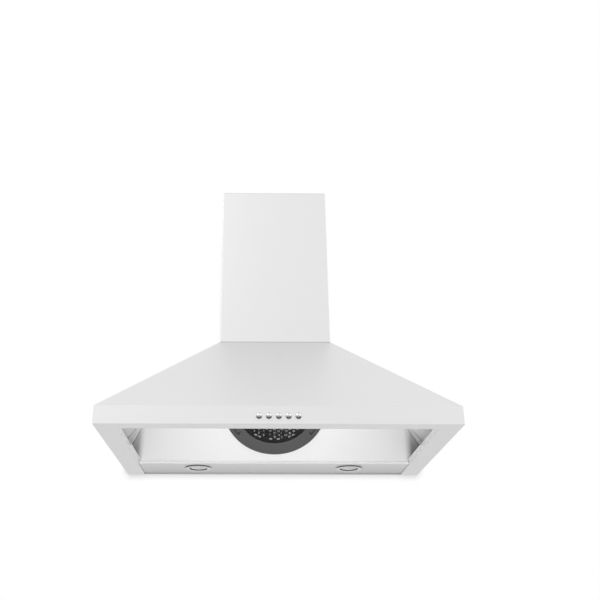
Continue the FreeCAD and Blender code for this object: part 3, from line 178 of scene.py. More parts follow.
class HoodFinish(bpy.types.PropertyGroup):
    """Colours and roughnesses of the finishes."""

    steel: colour("Stainless steel", "Outer sheets", (0.77, 0.77, 0.77))
    steel_roughness: share("Steel roughness", "Roughness of the outer sheets", 0.42)
    inner_steel: colour("Inner steel", "Inclined panel of the underside", (0.875, 0.875, 0.875))
    inner_roughness: share("Inner steel roughness", "Roughness of the underside's sheets", 0.36)
    hollow_steel: colour("Hollow steel", "Inner faces of the canopy", (0.84, 0.84, 0.84))
    strip_steel: colour("Strip steel", "Lamp strip", (0.52, 0.52, 0.52))
    zinc: colour("Zinc", "Galvanised sheets behind the covers", (0.58, 0.59, 0.60))
    bezel: colour("Bezel", "Lamp bezels", (0.62, 0.62, 0.62))
    ring: colour("Ring plastic", "Inlet ring", (0.061, 0.061, 0.061))
    guard: colour("Guard plastic", "Honeycomb guard", (0.016, 0.016, 0.016))
    black: colour("Black plastic", "Collar, damper and switch", (0.022, 0.022, 0.023))
    white: colour("White plastic", "Terminals, capacitor and lamp supply", (0.78, 0.78, 0.76))
    wheel: colour("Wheel metal", "Blower wheel", (0.90, 0.90, 0.90))
    enamel: colour("Motor enamel", "Motor housing", (0.09, 0.09, 0.095))


class StudioSettings(bpy.types.PropertyGroup):
    """Camera, floor, wall and lights."""

    camera_x: length("Camera to the right", "Camera's place along the wall", -0.0512)
    camera_distance: length("Camera distance", "Distance in front of the hood's front", 1.560)
    camera_drop: length("Camera drop", "How far the camera is below the hood's bottom", 0.4212)
    camera_pitch: angle("Camera pitch", "How far the camera looks up", 22.80)
    camera_yaw: angle("Camera yaw", "How far the camera looks to the right", 0.63)
    lens_mm: number("Lens", "Focal length in millimetres", 47.17)
    shift_x: number("Shift to the right", "Lens shift as a share of the picture", 0.063)
    shift_y: number("Shift up", "Lens shift as a share of the picture", 0.03)
    floor_drop: length("Floor drop", "How far the floor is below the hood", 0.75)
    wall_gap: length("Wall gap", "How far the wall is behind the hood's back", 0.0015)


# ------------------------------------------------------------------ shapes


def finish_mesh(mesh, sharp_angle):
    """Merges doubles, turns the faces outwards and smooths all but the sharp edges."""
    work = bmesh.new()
    work.from_mesh(mesh)
    bmesh.ops.remove_doubles(work, verts=work.verts, dist=1e-6)
    bmesh.ops.dissolve_degenerate(work, edges=work.edges, dist=1e-7)
    bmesh.ops.recalc_face_normals(work, faces=work.faces)
    work.to_mesh(mesh)
    work.free()
    mesh.shade_smooth()
    mesh.set_sharp_from_angle(angle=sharp_angle)
    mesh.update()


def grid_object(name, points, wrap_rows=False, wrap_columns=False, sharp_angle=math.radians(35)):
    """An object whose surface runs through a grid of points, row by row.

    points has the shape (rows, columns, 3). Neighbouring grid points are joined by four-sided faces,
    and a wrapped direction also joins its last line to its first.
    """
    rows, columns = points.shape[:2]
    numbers = np.arange(rows * columns).reshape(rows, columns)
    if wrap_rows:
        numbers = np.vstack([numbers, numbers[:1]])
    if wrap_columns:
        numbers = np.hstack([numbers, numbers[:, :1]])
    faces = np.stack(
        [numbers[:-1, :-1], numbers[1:, :-1], numbers[1:, 1:], numbers[:-1, 1:]], axis=-1
    ).reshape(-1, 4)
    mesh = bpy.data.meshes.new(name)
    mesh.from_pydata(points.reshape(-1, 3).tolist(), [], faces.tolist())
    finish_mesh(mesh, sharp_angle)
    piece = bpy.data.objects.new(name, mesh)
    bpy.context.scene.collection.objects.link(piece)
    return piece


def rounded_outline(corners, radius, steps=5):
    """A closed outline whose corners are rounded.

    Each corner becomes a quadratic curve between the points a radius before and after it, or less
    where a side is short: P = (1-t)^2 A + 2t(1-t) C + t^2 B.
    """
    corners = np.asarray(corners, dtype=float)
    before = np.roll(corners, 1, axis=0) - corners
    after = np.roll(corners, -1, axis=0) - corners
    long_before = np.linalg.norm(before, axis=1, keepdims=True)
    long_after = np.linalg.norm(after, axis=1, keepdims=True)
    start = corners + before / long_before * np.minimum(radius, long_before * 0.45)
    end = corners + after / long_after * np.minimum(radius, long_after * 0.45)
    t = np.linspace(0.0, 1.0, steps)[None, :, None]
    curve = (1 - t) ** 2 * start[:, None] + 2 * t * (1 - t) * corners[:, None] + t**2 * end[:, None]
    return curve.reshape(-1, 2)


def turned_object(name, outline, centre, axis, right, segments, closed=True):
    """A surface of revolution: P = centre + r cos(a) right + r sin(a) side + h axis.

    outline holds (r, h) pairs in metres. A closed outline runs round a tube wall, and an open one
    runs from the axis back to the axis.
    """
    axis = np.asarray(axis, dtype=float)
    right = np.asarray(right, dtype=float)
    side = np.cross(axis, right)
    turn = np.linspace(0.0, TURN, segments, endpoint=False)
    spoke = np.cos(turn)[:, None] * right + np.sin(turn)[:, None] * side
    outline = np.asarray(outline, dtype=float)
    points = (
        np.asarray(centre)
        + outline[:, 0][:, None, None] * spoke[None]
        + outline[:, 1][:, None, None] * axis
    )
    return grid_object(name, points, wrap_rows=closed, wrap_columns=True)


def dress(piece, material, body, slot, *nodes):
    """Gives a new piece its material and its body, and hides the nodes it stands for. The slot is not used.
    """
    piece.data.materials.clear()
    piece.data.materials.append(material)
    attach(piece, body)
    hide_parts(*nodes)
    return piece


def paint(material, *names):
    """Gives frame nodes a material."""
    for name in names:
        mesh = NODES[name].data
        mesh.materials.clear()
        mesh.materials.append(material)


# ------------------------------------------------------------------ shader building blocks

# The two inputs and the output of a Mix node that serve each kind of value.
MIX_SOCKETS = {"VECTOR": (4, 5, 1), "RGBA": (6, 7, 2)}


def grey(tone):
    """A neutral colour."""
    return (tone, tone, tone)


def scaled(base, factor):
    """A colour made lighter or darker."""
    return [value * factor for value in base]


def node_of(tree, kind):
    """The only node of a kind in a tree."""
    return next(node for node in tree.nodes if node.type == kind)


def feed(tree, value, socket):
    """Gives a socket its value: another socket by a link, or a number, a vector or a colour."""
    if isinstance(value, bpy.types.NodeSocket):
        tree.links.new(value, socket)
    elif socket.type == "RGBA":
        socket.default_value = (*value, 1.0)
    else:
        socket.default_value = value


def set_inputs(tree, node, **values):
    """Fills a node's inputs by their labels, with _ for a space."""
    for label, value in values.items():
        feed(tree, value, node.inputs[label.replace("_", " ")])


def add_node(tree, kind, **values):
    """A node with the inputs given by label."""
    node = tree.nodes.new(kind)
    set_inputs(tree, node, **values)
    return node


def math_node(tree, operation, first, second=0.0):
    """A Math node's result; each operand is a socket or a number."""
    node = tree.nodes.new("ShaderNodeMath")
    node.operation = operation
    feed(tree, first, node.inputs[0])
    feed(tree, second, node.inputs[1])
    return node.outputs[0]


def product(tree, *factors):
    """The factors multiplied together."""
    return functools.reduce(lambda first, second: math_node(tree, "MULTIPLY", first, second), factors)


def mix_node(tree, kind, factor, first, second, blend="MIX"):
    """A vector or a colour between two others."""
    node = tree.nodes.new("ShaderNodeMix")
    node.data_type = kind
    node.blend_type = blend
    low, high, result = MIX_SOCKETS[kind]
    for index, value in ((0, factor), (low, first), (high, second)):
        feed(tree, value, node.inputs[index])
    return node.outputs[result]


def blend_colours(tree, factor, first, second):
    """A colour between two others; each is a socket or three numbers."""
    return mix_node(tree, "RGBA", factor, first, second)


def tinted(tree, base, factor, spread):
    """A colour that the factor lightens and darkens by a small spread."""
    lighter = [min(1.0, value) for value in scaled(base, 1.0 + spread)]
    return blend_colours(tree, factor, scaled(base, 1.0 - spread), lighter)


def map_range(tree, value, low, high, start=0.0, end=1.0, interpolation="LINEAR"):
    """A value that runs from start to end as another runs from low to high."""
    node = add_node(
        tree, "ShaderNodeMapRange", Value=value, From_Min=low, From_Max=high, To_Min=start, To_Max=end
    )
    node.interpolation_type = interpolation
    return node.outputs["Result"]


def split_axes(tree, vector):
    """The three parts of a vector as separate sockets."""
    return add_node(tree, "ShaderNodeSeparateXYZ", Vector=vector).outputs


def object_place(tree):
    """The place in object coordinates."""
    return tree.nodes.new("ShaderNodeTexCoord").outputs["Object"]


def object_axes(tree):
    """The three object coordinates as separate sockets."""
    return split_axes(tree, object_place(tree))


def facing_axes(tree, which="True Normal"):
    """The three parts of the direction that a face looks in."""
    return split_axes(tree, tree.nodes.new("ShaderNodeNewGeometry").outputs[which])


def noise_at(tree, place, scale, detail, roughness=0.5):
    """A noise between 0 and 1."""
    noise = add_node(
        tree, "ShaderNodeTexNoise", Vector=place, Scale=scale, Detail=detail, Roughness=roughness
    )
    return noise.outputs["Fac"]


def light_path_any(tree, *labels):
    """1 where the ray is any of the named kinds."""
    path = tree.nodes.new("ShaderNodeLightPath")
    return functools.reduce(
        lambda first, second: math_node(tree, "MAXIMUM", first, second),
        [path.outputs[label] for label in labels],
    )


def mix_surface(tree, factor, first, second):
    """Ends a material in a mix of two shaders."""
    mix = tree.nodes.new("ShaderNodeMixShader")
    for index, value in enumerate((factor, first.outputs[0], second.outputs[0])):
        feed(tree, value, mix.inputs[index])
    feed(tree, mix.outputs[0], node_of(tree, "OUTPUT_MATERIAL").inputs["Surface"])


def group_named(name, inputs, outputs):
    """Marks the maker of a node group, which gets the group and its end nodes' sockets.

    The group is made at the first call and handed out again after that.
    """

    def mark(make):
        @functools.wraps(make)
        def fetch():
            group = bpy.data.node_groups.get(name)
            if group is None:
                group = bpy.data.node_groups.new(name, "ShaderNodeTree")
                face, kind = group.interface, "NodeSocketFloat"
                for label, default in inputs:
                    socket = face.new_socket(name=label, in_out="INPUT", socket_type=kind)
                    socket.default_value = default
                for label in outputs:
                    face.new_socket(name=label, in_out="OUTPUT", socket_type=kind)
                source = group.nodes.new("NodeGroupInput")
                result = group.nodes.new("NodeGroupOutput")
                make(group, source.outputs, result.inputs)
            return group

        return fetch

    return mark


def place_group(tree, group, **values):
    """The outputs of a group node in a material, with its own values."""
    node = tree.nodes.new("ShaderNodeGroup")
    node.node_tree = group
    set_inputs(tree, node, **values)
    return node.outputs


def finish_named(name):
    """Marks the maker of a finish, which gets the material's node tree and Principled shader.

    The material is made at the first call and handed out again after that. The prefix keeps it
    apart from the plain material of the same name that comes with the frame.
    """

    def mark(make):
        @functools.wraps(make)
        def fetch():
            material = bpy.data.materials.get("finish_" + name)
            if material is None:
                material = bpy.data.materials.new("finish_" + name)
                material.use_nodes = True
                make(material.node_tree, node_of(material.node_tree, "BSDF_PRINCIPLED"))
            return material

        return fetch

    return mark


@group_named("brushed_grain", (("Along", 6.0), ("Across", 700.0)), ("Height", "Tone"))
def brushed_grain(group, source, result):
    """Fine parallel scratches that run level round the hood.

    Object coordinates are stretched along the wall on faces that look forwards or down, and along
    the depth on faces that look sideways, and a noise is read there.
    """
    sideways_from = 0.6
    turn = math_node(group, "ABSOLUTE", facing_axes(group, "Normal")[0])
    stretches = []
    for order in (("Along", "Across", "Across"), ("Across", "Along", "Across")):
        combine = group.nodes.new("ShaderNodeCombineXYZ")
        for index, label in enumerate(order):
            feed(group, source[label], combine.inputs[index])
        stretches.append(combine.outputs[0])
    sideways = math_node(group, "GREATER_THAN", turn, sideways_from)
    stretched = group.nodes.new("ShaderNodeVectorMath")
    stretched.operation = "MULTIPLY"
    feed(group, object_place(group), stretched.inputs[0])
    feed(group, mix_node(group, "VECTOR", sideways, *stretches), stretched.inputs[1])
    noise = noise_at(group, stretched.outputs[0], 1.0, 3.0, 0.6)
    feed(group, noise, result["Height"])
    feed(group, noise, result["Tone"])


@group_named("plain_grain", (("Scale", 900.0),), ("Height", "Tone"))
def plain_grain(group, source, result):
    """The fine even grain of moulded plastic, cast metal and enamel, from a noise in object space."""
    noise = noise_at(group, object_place(group), source["Scale"], 2.0)
    feed(group, noise, result["Height"])
    feed(group, noise, result["Tone"])


@group_named("canopy_hollow", (("Skin", 0.6 * MM),), ("Inside",))
def canopy_hollow(group, source, result):
    """1 on the inner faces of the canopy and 0 on its outer faces.

    At each height the outer form has a half width and a front depth, which run in straight lines
    from the band's top to the roof. A point more than half a sheet inside both is on an inner face.
    """
    edge = 0.5 * MM
    canopy, cover = canopy_box(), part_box("chimney_lower_cover")
    band_top = canopy[0][2] + bpy.context.scene.hood_sizes.band_height
    x, y, z = object_axes(group)
    bounds = []
    for low, high in ((canopy[1][0], cover[1][0]), (-canopy[0][1], -cover[0][1])):
        outer = map_range(group, z, band_top, canopy[1][2], low, high)
        bounds.append(math_node(group, "SUBTRACT", outer, source["Skin"]))
    inside = product(
        group,
        math_node(group, "LESS_THAN", math_node(group, "ABSOLUTE", x), bounds[0]),
        math_node(group, "GREATER_THAN", y, product(group, bounds[1], -1.0)),
        math_node(group, "GREATER_THAN", z, canopy[0][2] + edge),
        math_node(group, "LESS_THAN", z, canopy[1][2] - edge),
    )
    feed(group, inside, result["Inside"])


@group_named("level_line", (("Level", 0.0), ("Half width", 2.0 * MM)), ("Line",))
def level_line(group, source, result):
    """1 on a thin level line and 0 away from it: 1 - |z - level| / half width, never below 0."""
    off = math_node(group, "SUBTRACT", object_axes(group)[2], source["Level"])
    away = math_node(group, "DIVIDE", math_node(group, "ABSOLUTE", off), source["Half width"])
    feed(group, math_node(group, "MAXIMUM", math_node(group, "SUBTRACT", 1.0, away), 0.0), result["Line"])


def set_roughness(tree, shader, tone, low, high):
    """Lets the roughness follow a grain, whose tone lies mostly between 0.3 and 0.7."""
    set_inputs(tree, shader, Roughness=map_range(tree, tone, 0.3, 0.7, low, high))


def add_bump(tree, shader, height, strength, distance=0.05 * MM):
    """Raises the surface with a grain's height."""
    bump = add_node(tree, "ShaderNodeBump", Strength=strength, Distance=distance, Height=height)
    set_inputs(tree, shader, Normal=bump.outputs["Normal"])


def brushed(tree, shader, grain, roughness, spread, bump):
    """Gives a shader the roughness and relief of a brushed sheet."""
    low, high = roughness * (1.0 - spread), roughness * (1.0 + spread)
    set_roughness(tree, shader, grain["Tone"], low, high)
    add_bump(tree, shader, grain["Height"], bump)


def grained(tree, shader, base, roughness, metallic=0.0, scale=900.0, spread=0.06):
    """Gives a shader the even grain of a moulded, cast or painted surface."""
    grain = place_group(tree, plain_grain(), Scale=scale)
    colour_of_grain = tinted(tree, base, grain["Tone"], spread)
    set_inputs(tree, shader, Base_Color=colour_of_grain, Metallic=metallic)
    set_roughness(tree, shader, grain["Tone"], roughness * 0.9, min(1.0, roughness * 1.1))
    add_bump(tree, shader, grain["Height"], 0.12, 0.1 * MM)


def let_light_through(tree, shader):
    """Shows the shader to the camera and to mirrors, and lets soft light pass."""
    soft = light_path_any(tree, "Is Shadow Ray", "Is Diffuse Ray")
    mix_surface(tree, soft, shader, tree.nodes.new("ShaderNodeBsdfTransparent"))


# ------------------------------------------------------------------ finishes of the hood


def finish():
    return bpy.context.scene.hood_finish


@finish_named("stainless_outer")
def outer_steel(tree, shader):
    """Brushed steel outside, with a line of painted shade at each joint and a plainer, lighter inside.

    The lines lie at the canopy's top, the lower cover's top and the canopy's bottom edge, each with
    a half width and a strength, and only where a face doesn't look down.
    """
    # Darkest tone and strength of the painted shade lines along the joints and edges.
    down_limit, joint_shade_tone, line_strength = -0.5, 0.30, 0.55
    spread, metal_lost_inside = 0.012, 0.8
    low, high = canopy_box()
    cover_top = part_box("chimney_lower_cover")[1][2]
    lines = ((high[2], 2.2 * MM, 1.0), (cover_top, 1.6 * MM, 0.8), (low[2], 1.8 * MM, 0.5))
    line = 0.0
    for level, half, strength in lines:
        mark = place_group(tree, level_line(), Level=level, Half_width=half)["Line"]
        line = math_node(tree, "MAXIMUM", line, product(tree, mark, strength))
    upright = math_node(tree, "GREATER_THAN", facing_axes(tree)[2], down_limit)
    line = product(tree, line, upright, line_strength)
    grain = place_group(tree, brushed_grain())
    inside = place_group(tree, canopy_hollow())["Inside"]
    skin = tinted(tree, finish().steel, grain["Tone"], spread)
    outside = blend_colours(tree, line, skin, grey(joint_shade_tone))
    hollow = tinted(tree, finish().hollow_steel, grain["Tone"], spread)
    metal = math_node(tree, "SUBTRACT", 1.0, product(tree, inside, metal_lost_inside))
    sheet = blend_colours(tree, inside, outside, hollow)
    set_inputs(tree, shader, Base_Color=sheet, Metallic=metal)
    brushed(tree, shader, grain, finish().steel_roughness, 0.06, 0.05)


@finish_named("stainless_inner")
def inner_steel(tree, shader):
    """The inclined panel: satin steel, bright in the middle and a little greyer to the sides by painted
    shade, more so on the right.
    """
    middle_end, side_start = 0.10, 0.34
    # Painted shade: share of the panel's colour kept on the left and on the right.
    left_shade_share, right_shade_share = 0.91, 0.87
    base = finish().inner_steel
    grain = place_group(tree, brushed_grain())
    x = object_axes(tree)[0]
    away = math_node(tree, "ABSOLUTE", x)
    side_shade = map_range(tree, away, middle_end, side_start, interpolation="SMOOTHSTEP")
    on_right = math_node(tree, "GREATER_THAN", x, 0.0)
    side = blend_colours(tree, on_right, scaled(base, left_shade_share), scaled(base, right_shade_share))
    middle = tinted(tree, base, grain["Tone"], 0.004)
    set_inputs(tree, shader, Base_Color=blend_colours(tree, side_shade, middle, side), Metallic=0.25)
    brushed(tree, shader, grain, finish().inner_roughness, 0.04, 0.02)


@finish_named("stainless_strip")
def strip_steel(tree, shader):
    """The lamp strip: painted shade that greys it towards the wall, and a painted highlight along its front
    hem.
    """
    front_share, wall_share, metallic = 1.2, 0.9, 0.5
    hem_width, hem_highlight_tone = 0.6 * MM, 0.95
    base = finish().strip_steel
    grain = place_group(tree, brushed_grain())
    low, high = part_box("rear_light_strip")
    y = object_axes(tree)[1]
    # Painted shade, darker from the front edge towards the wall.
    deep = map_range(tree, y, low[1], high[1])
    shade = blend_colours(tree, deep, scaled(base, front_share), scaled(base, wall_share))
    tinge = tinted(tree, grey(1.0), grain["Tone"], 0.02)
    sheet = mix_node(tree, "RGBA", 1.0, shade, tinge, blend="MULTIPLY")
    # Painted highlight: a light, less metallic colour along the front hem.
    hem = math_node(tree, "LESS_THAN", y, low[1] + hem_width)
    metal = math_node(tree, "SUBTRACT", metallic, product(tree, hem, metallic))
    sheet = blend_colours(tree, hem, sheet, grey(hem_highlight_tone))
    set_inputs(tree, shader, Base_Color=sheet, Metallic=metal)
    brushed(tree, shader, grain, finish().inner_roughness, 0.06, 0.04)


@finish_named("shaded_gusset")
def shaded_gusset(tree, shader):
    """Polished side sheets with a painted dark reflection: light by the panel and outside, dark towards
    their lower front corner.

    u is the distance from the inclined panel and v the height above the foot, both as shares of the
    sheet. The darkness of the inner face is min(2.2 u, 1) * (1 - 0.75 v).
    """
    growth, rise_loss = 2.2, 0.75
    # Painted dark reflection: the sheet's tone and the darkest tone on each side.
    sheet, darkest_reflection_left, darkest_reflection_right = grey(0.86), grey(0.10), grey(0.015)
    low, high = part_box("gusset_right")
    start = float(np.dot((0.0, high[1], low[2]), INLET_NORMAL))
    reach = float(INLET_NORMAL[1] * (low[1] - high[1]))
    dot = tree.nodes.new("ShaderNodeVectorMath")
    dot.operation = "DOT_PRODUCT"
    feed(tree, object_place(tree), dot.inputs[0])
    feed(tree, tuple(INLET_NORMAL), dot.inputs[1])
    off_panel = map_range(tree, dot.outputs["Value"], start, start + reach / growth)
    x, _, z = object_axes(tree)
    rise = map_range(tree, z, low[2], high[2])
    kept = math_node(tree, "SUBTRACT", 1.0, product(tree, rise, rise_loss))
    inward = math_node(tree, "LESS_THAN", product(tree, x, facing_axes(tree)[0]), 0.0)
    on_right = math_node(tree, "GREATER_THAN", x, 0.0)
    darkest_reflection = blend_colours(tree, on_right, darkest_reflection_left, darkest_reflection_right)
    face = blend_colours(tree, product(tree, off_panel, kept, inward), sheet, darkest_reflection)
    set_inputs(tree, shader, Base_Color=face, Metallic=0.7, Specular_IOR_Level=0.2)
    grain = place_group(tree, brushed_grain())
    set_roughness(tree, shader, grain["Tone"], 0.34, 0.38)
    add_bump(tree, shader, grain["Height"], 0.05)
    let_light_through(tree, shader)


@finish_named("button_chrome")
def button_chrome(tree, shader):
    """Polished cap with a painted reflection: light above, with a dark lower edge.

    The tones are set at heights given as shares of the cap, from its bottom to its top.
    """
    margin = 1.5 * MM
    # Painted reflection: light above and dark at the lower edge, as height share and tone.
    tones = ((0.0, 0.02), (0.12, 0.05), (0.30, 0.40), (0.50, 0.80), (1.0, 0.58))
    low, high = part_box("button_3")
    up = map_range(tree, object_axes(tree)[2], low[2] + margin, high[2] - margin)
    ramp = add_node(tree, "ShaderNodeValToRGB", Fac=up)
    ramp.color_ramp.interpolation = "EASE"
    elements = ramp.color_ramp.elements
    # A new ramp already has two elements.
    for index, (place, tone) in enumerate(tones):
        element = elements[index] if index < 2 else elements.new(place)
        element.position = place
        element.color = (*grey(tone), 1.0)
    set_inputs(tree, shader, Base_Color=ramp.outputs["Color"], Metallic=1.0)
    grain = place_group(tree, plain_grain(), Scale=900.0)
    set_roughness(tree, shader, grain["Tone"], 0.12, 0.16)


@finish_named("bezel_metal")
def bezel_metal(tree, shader):
    """Satin lamp bezel with a painted dark reflection on its front rim and a dark line round its opening.

    r is the distance from the lamp's middle. The rim's darkness grows over the outer 2.5 mm on the
    side that looks forwards, and the line lies on the inner 1.2 mm.
    """
    rim_start, rim_end, forward_share, line_width = 3.5 * MM, 1.0 * MM, 0.6, 1.2 * MM
    sizes = bpy.context.scene.hood_sizes
    centre = node_centre("lamp_bezel_right")
    x, y, _ = object_axes(tree)
    across = math_node(tree, "SUBTRACT", math_node(tree, "ABSOLUTE", x), float(centre[0]))
    ahead = math_node(tree, "SUBTRACT", float(centre[1]), y)
    square = math_node(tree, "ADD", product(tree, across, across), product(tree, ahead, ahead))
    radius = math_node(tree, "SQRT", square)
    # Painted dark reflection on the rim's forward side.
    rim = map_range(tree, radius, sizes.lamp_rim - rim_start, sizes.lamp_rim - rim_end)
    forward = map_range(tree, ahead, 0.0, sizes.lamp_rim * forward_share)
    line = math_node(tree, "LESS_THAN", radius, sizes.lamp_opening + line_width)
    dark = math_node(tree, "MAXIMUM", product(tree, rim, forward), line)
    grain = place_group(tree, plain_grain(), Scale=700.0)
    satin = tinted(tree, finish().bezel, grain["Tone"], 0.02)
    set_inputs(tree, shader, Base_Color=blend_colours(tree, dark, satin, grey(0.05)), Metallic=0.6)
    set_roughness(tree, shader, grain["Tone"], 0.30, 0.36)


@finish_named("lamp_glass")
def lamp_glass(tree, shader):
    """Pressed glass with a faint grain, clear enough to show the reflector behind it."""
    grain = place_group(tree, plain_grain(), Scale=500.0)
    glass = tinted(tree, (0.88, 0.88, 0.87), grain["Tone"], 0.03)
    set_inputs(tree, shader, Base_Color=glass, Metallic=0.0, Transmission_Weight=0.55, IOR=1.5)
    set_roughness(tree, shader, grain["Tone"], 0.16, 0.24)
    add_bump(tree, shader, grain["Height"], 0.15, 0.2 * MM)


@finish_named("guard_plastic")
def guard_plastic(tree, shader):
    """Dull dark plastic that lets light through to the wheel as open mesh does."""
    grained(tree, shader, finish().guard, 0.55)
    set_inputs(tree, shader, Specular_IOR_Level=0.12)
    let_light_through(tree, shader)


@finish_named("grey_plastic")
def ring_plastic(tree, shader):
    grained(tree, shader, finish().ring, 0.42)


@finish_named("black_plastic")
def black_plastic(tree, shader):
    grained(tree, shader, finish().black, 0.45)


@finish_named("white_plastic")
def white_plastic(tree, shader):
    grained(tree, shader, finish().white, 0.38, spread=0.02)


@finish_named("dark_rubber")
def dark_rubber(tree, shader):
    grained(tree, shader, grey(0.018), 0.7, scale=600.0)


@finish_named("motor_enamel")
def motor_enamel(tree, shader):
    grained(tree, shader, finish().enamel, 0.34)


@finish_named("wheel_metal")
def wheel_metal(tree, shader):
    grained(tree, shader, finish().wheel, 0.42, metallic=0.2, scale=120.0, spread=0.05)


@finish_named("galvanised_steel")
def galvanised(tree, shader):
    grained(tree, shader, finish().zinc, 0.45, metallic=1.0, scale=60.0, spread=0.10)


@finish_named("fastener_steel")
def fastener_steel(tree, shader):
    grained(tree, shader, (0.56, 0.56, 0.57), 0.35, metallic=1.0, scale=1500.0)


@finish_named("spring_steel")
def spring_steel(tree, shader):
    grained(tree, shader, (0.50, 0.50, 0.51), 0.28, metallic=1.0, scale=1500.0)


@finish_named("lamp_metal")
def lamp_metal(tree, shader):
    grained(tree, shader, (0.66, 0.66, 0.67), 0.4, metallic=1.0, scale=400.0)


@finish_named("motor_steel")
def motor_steel(tree, shader):
    grained(tree, shader, (0.42, 0.42, 0.43), 0.4, metallic=1.0, scale=500.0)


# ------------------------------------------------------------------ operators, one for each group of pieces


class PaintStep:
    """An operator that only gives frame nodes their finishes, as pairs of a finish and its nodes."""

    def execute(self, context):
        for make_finish, nodes in self.painted:
            paint(make_finish(), *nodes)
        return {"FINISHED"}


class HOOD_OT_outer_sheets(PaintStep, bpy.types.Operator):
    """Finish the canopy and the two chimney covers in brushed stainless steel"""

    bl_idname = "hood.outer_sheets"
    bl_label = "Outer sheets"
    painted = ((outer_steel, (*CANOPY, "chimney_lower_cover", "chimney_upper_cover")),)


class HOOD_OT_underside_sheets(PaintStep, bpy.types.Operator):
    """Finish the inclined panel, the lamp strip and the side gussets"""

    bl_idname = "hood.underside_sheets"
    bl_label = "Underside sheets"
    painted = (
        (inner_steel, ("inlet_panel",)),
        (strip_steel, ("rear_light_strip",)),
        (shaded_gusset, ("gusset_left", "gusset_right")),
    )


class HOOD_OT_back_sheets(PaintStep, bpy.types.Operator):
    """Finish the galvanised back panel and the wall bracket of the upper cover"""

    bl_idname = "hood.back_sheets"
    bl_label = "Back sheets"
    painted = ((galvanised, ("canopy_back_panel", "ceiling_bracket")),)


def ring_surface(sizes):
    """Points of the inlet ring: a turned outline whose face sinks at three filter hook pockets.

    Face height = ring height - depth * w, where w is 1 inside a pocket and 0 outside. w comes from
    the signed distance d to a rounded rectangle laid along the ring: w = smoothstep(-d / soft).
    """
    bore, rim, top = sizes.ring_bore, sizes.ring_rim, sizes.ring_height
    back = -sizes.ring_spigot
    face_steps, segments = 60, 720
    pocket_angles = (90, 210, 330)
    wall = 5.5 * MM
    bevel = 2.0 * MM
    edge = [
        (bore + wall, back), (bore, back), (bore, top - bevel), (bore + 0.6 * MM, top - 0.6 * MM),
        (bore + bevel, top),
    ]
    face_start, face_end = bore + bevel, rim - 5.4 * MM
    face = [(radius, top) for radius in np.linspace(face_start, face_end, face_steps)[1:-1]]
    far = [
        (face_end, top), (rim - 3.0 * MM, top - 0.6 * MM), (rim - 1.2 * MM, top - 2.0 * MM),
        (rim - 0.2 * MM, 2.6 * MM), (rim, 1.4 * MM), (rim, 0.0), (bore + wall, 0.0),
    ]
    outline = np.array(edge + face + far)
    turn = np.linspace(0.0, TURN, segments, endpoint=False)
    radius = np.repeat(outline[:, 0][:, None], turn.size, axis=1)
    height = np.repeat(outline[:, 1][:, None], turn.size, axis=1)
    pocket_radius = (bore + rim) / 2.0
    corner = 3.5 * MM
    soft = 0.7 * MM
    on_face = (outline[:, 1] > top - 1e-6)[:, None]
    sink = np.zeros_like(radius)
    for middle in np.radians(pocket_angles):
        along = (np.mod(turn - middle + math.pi, TURN) - math.pi)[None, :] * pocket_radius
        across = radius - pocket_radius
        over_x = np.abs(along) - (sizes.pocket_long / 2.0 - corner)
        over_y = np.abs(across) - (sizes.pocket_wide / 2.0 - corner)
        outside = np.hypot(np.maximum(over_x, 0.0), np.maximum(over_y, 0.0))
        inside = np.minimum(np.maximum(over_x, over_y), 0.0)
        distance = outside + inside - corner
        share_in = np.clip(-distance / soft, 0.0, 1.0)
        sink = np.maximum(sink, share_in * share_in * (3.0 - 2.0 * share_in))
    height = height - np.where(on_face, sink * sizes.pocket_depth, 0.0)
    spoke = np.cos(turn)[:, None] * INLET_RIGHT + np.sin(turn)[:, None] * INLET_UP
    return INLET_CENTRE + radius[..., None] * spoke[None] + height[..., None] * INLET_NORMAL


class HOOD_OT_inlet(bpy.types.Operator):
    """Turn the inlet ring with its filter pockets, and finish the honeycomb guard inside it"""

    bl_idname = "hood.inlet"
    bl_label = "Air inlet"

    def execute(self, context):
        sizes = context.scene.hood_sizes
        ring = grid_object("ring_with_pockets", ring_surface(sizes), wrap_rows=True, wrap_columns=True)
        dress(ring, ring_plastic(), "hood", "grey_plastic", "inlet_ring")
        paint(guard_plastic(), "inlet_guard")
        return {"FINISHED"}


class HOOD_OT_blower(PaintStep, bpy.types.Operator):
    """Finish the scroll and the blower wheel"""

    bl_idname = "hood.blower"
    bl_label = "Blower"
    painted = (
        (galvanised, ("scroll_wrapper", "scroll_back_plate")),
        (wheel_metal, ("impeller",)),
    )


class HOOD_OT_motor(PaintStep, bpy.types.Operator):
    """Finish the motor and its rubber mounts"""

    bl_idname = "hood.motor"
    bl_label = "Motor"
    painted = (
        (motor_enamel, ("motor_housing",)),
        (motor_steel, ("motor_shaft", "motor_rotor", "motor_stator", "motor_bearings")),
        (dark_rubber, ("motor_grommets",)),
    )


def bezel_outline(sizes, thickness):
    """Half section of a lamp's bezel: a rounded rim, a sleeve through the strip and a short lip."""
    opening, rim = sizes.lamp_opening, sizes.lamp_rim
    sleeve = rim - 5.4 * MM
    corners = [
        (opening, 0.9 * MM), (opening + 2.4 * MM, 0.15 * MM), (rim - 4.0 * MM, 0.0),
        (rim - 0.9 * MM, 0.6 * MM), (rim, thickness), (sleeve, thickness), (sleeve, 12.0 * MM),
        (sleeve - 2.0 * MM, 12.0 * MM), (sleeve - 2.0 * MM, 3.6 * MM), (opening, 3.6 * MM),
    ]
    return rounded_outline(corners, 0.8 * MM)


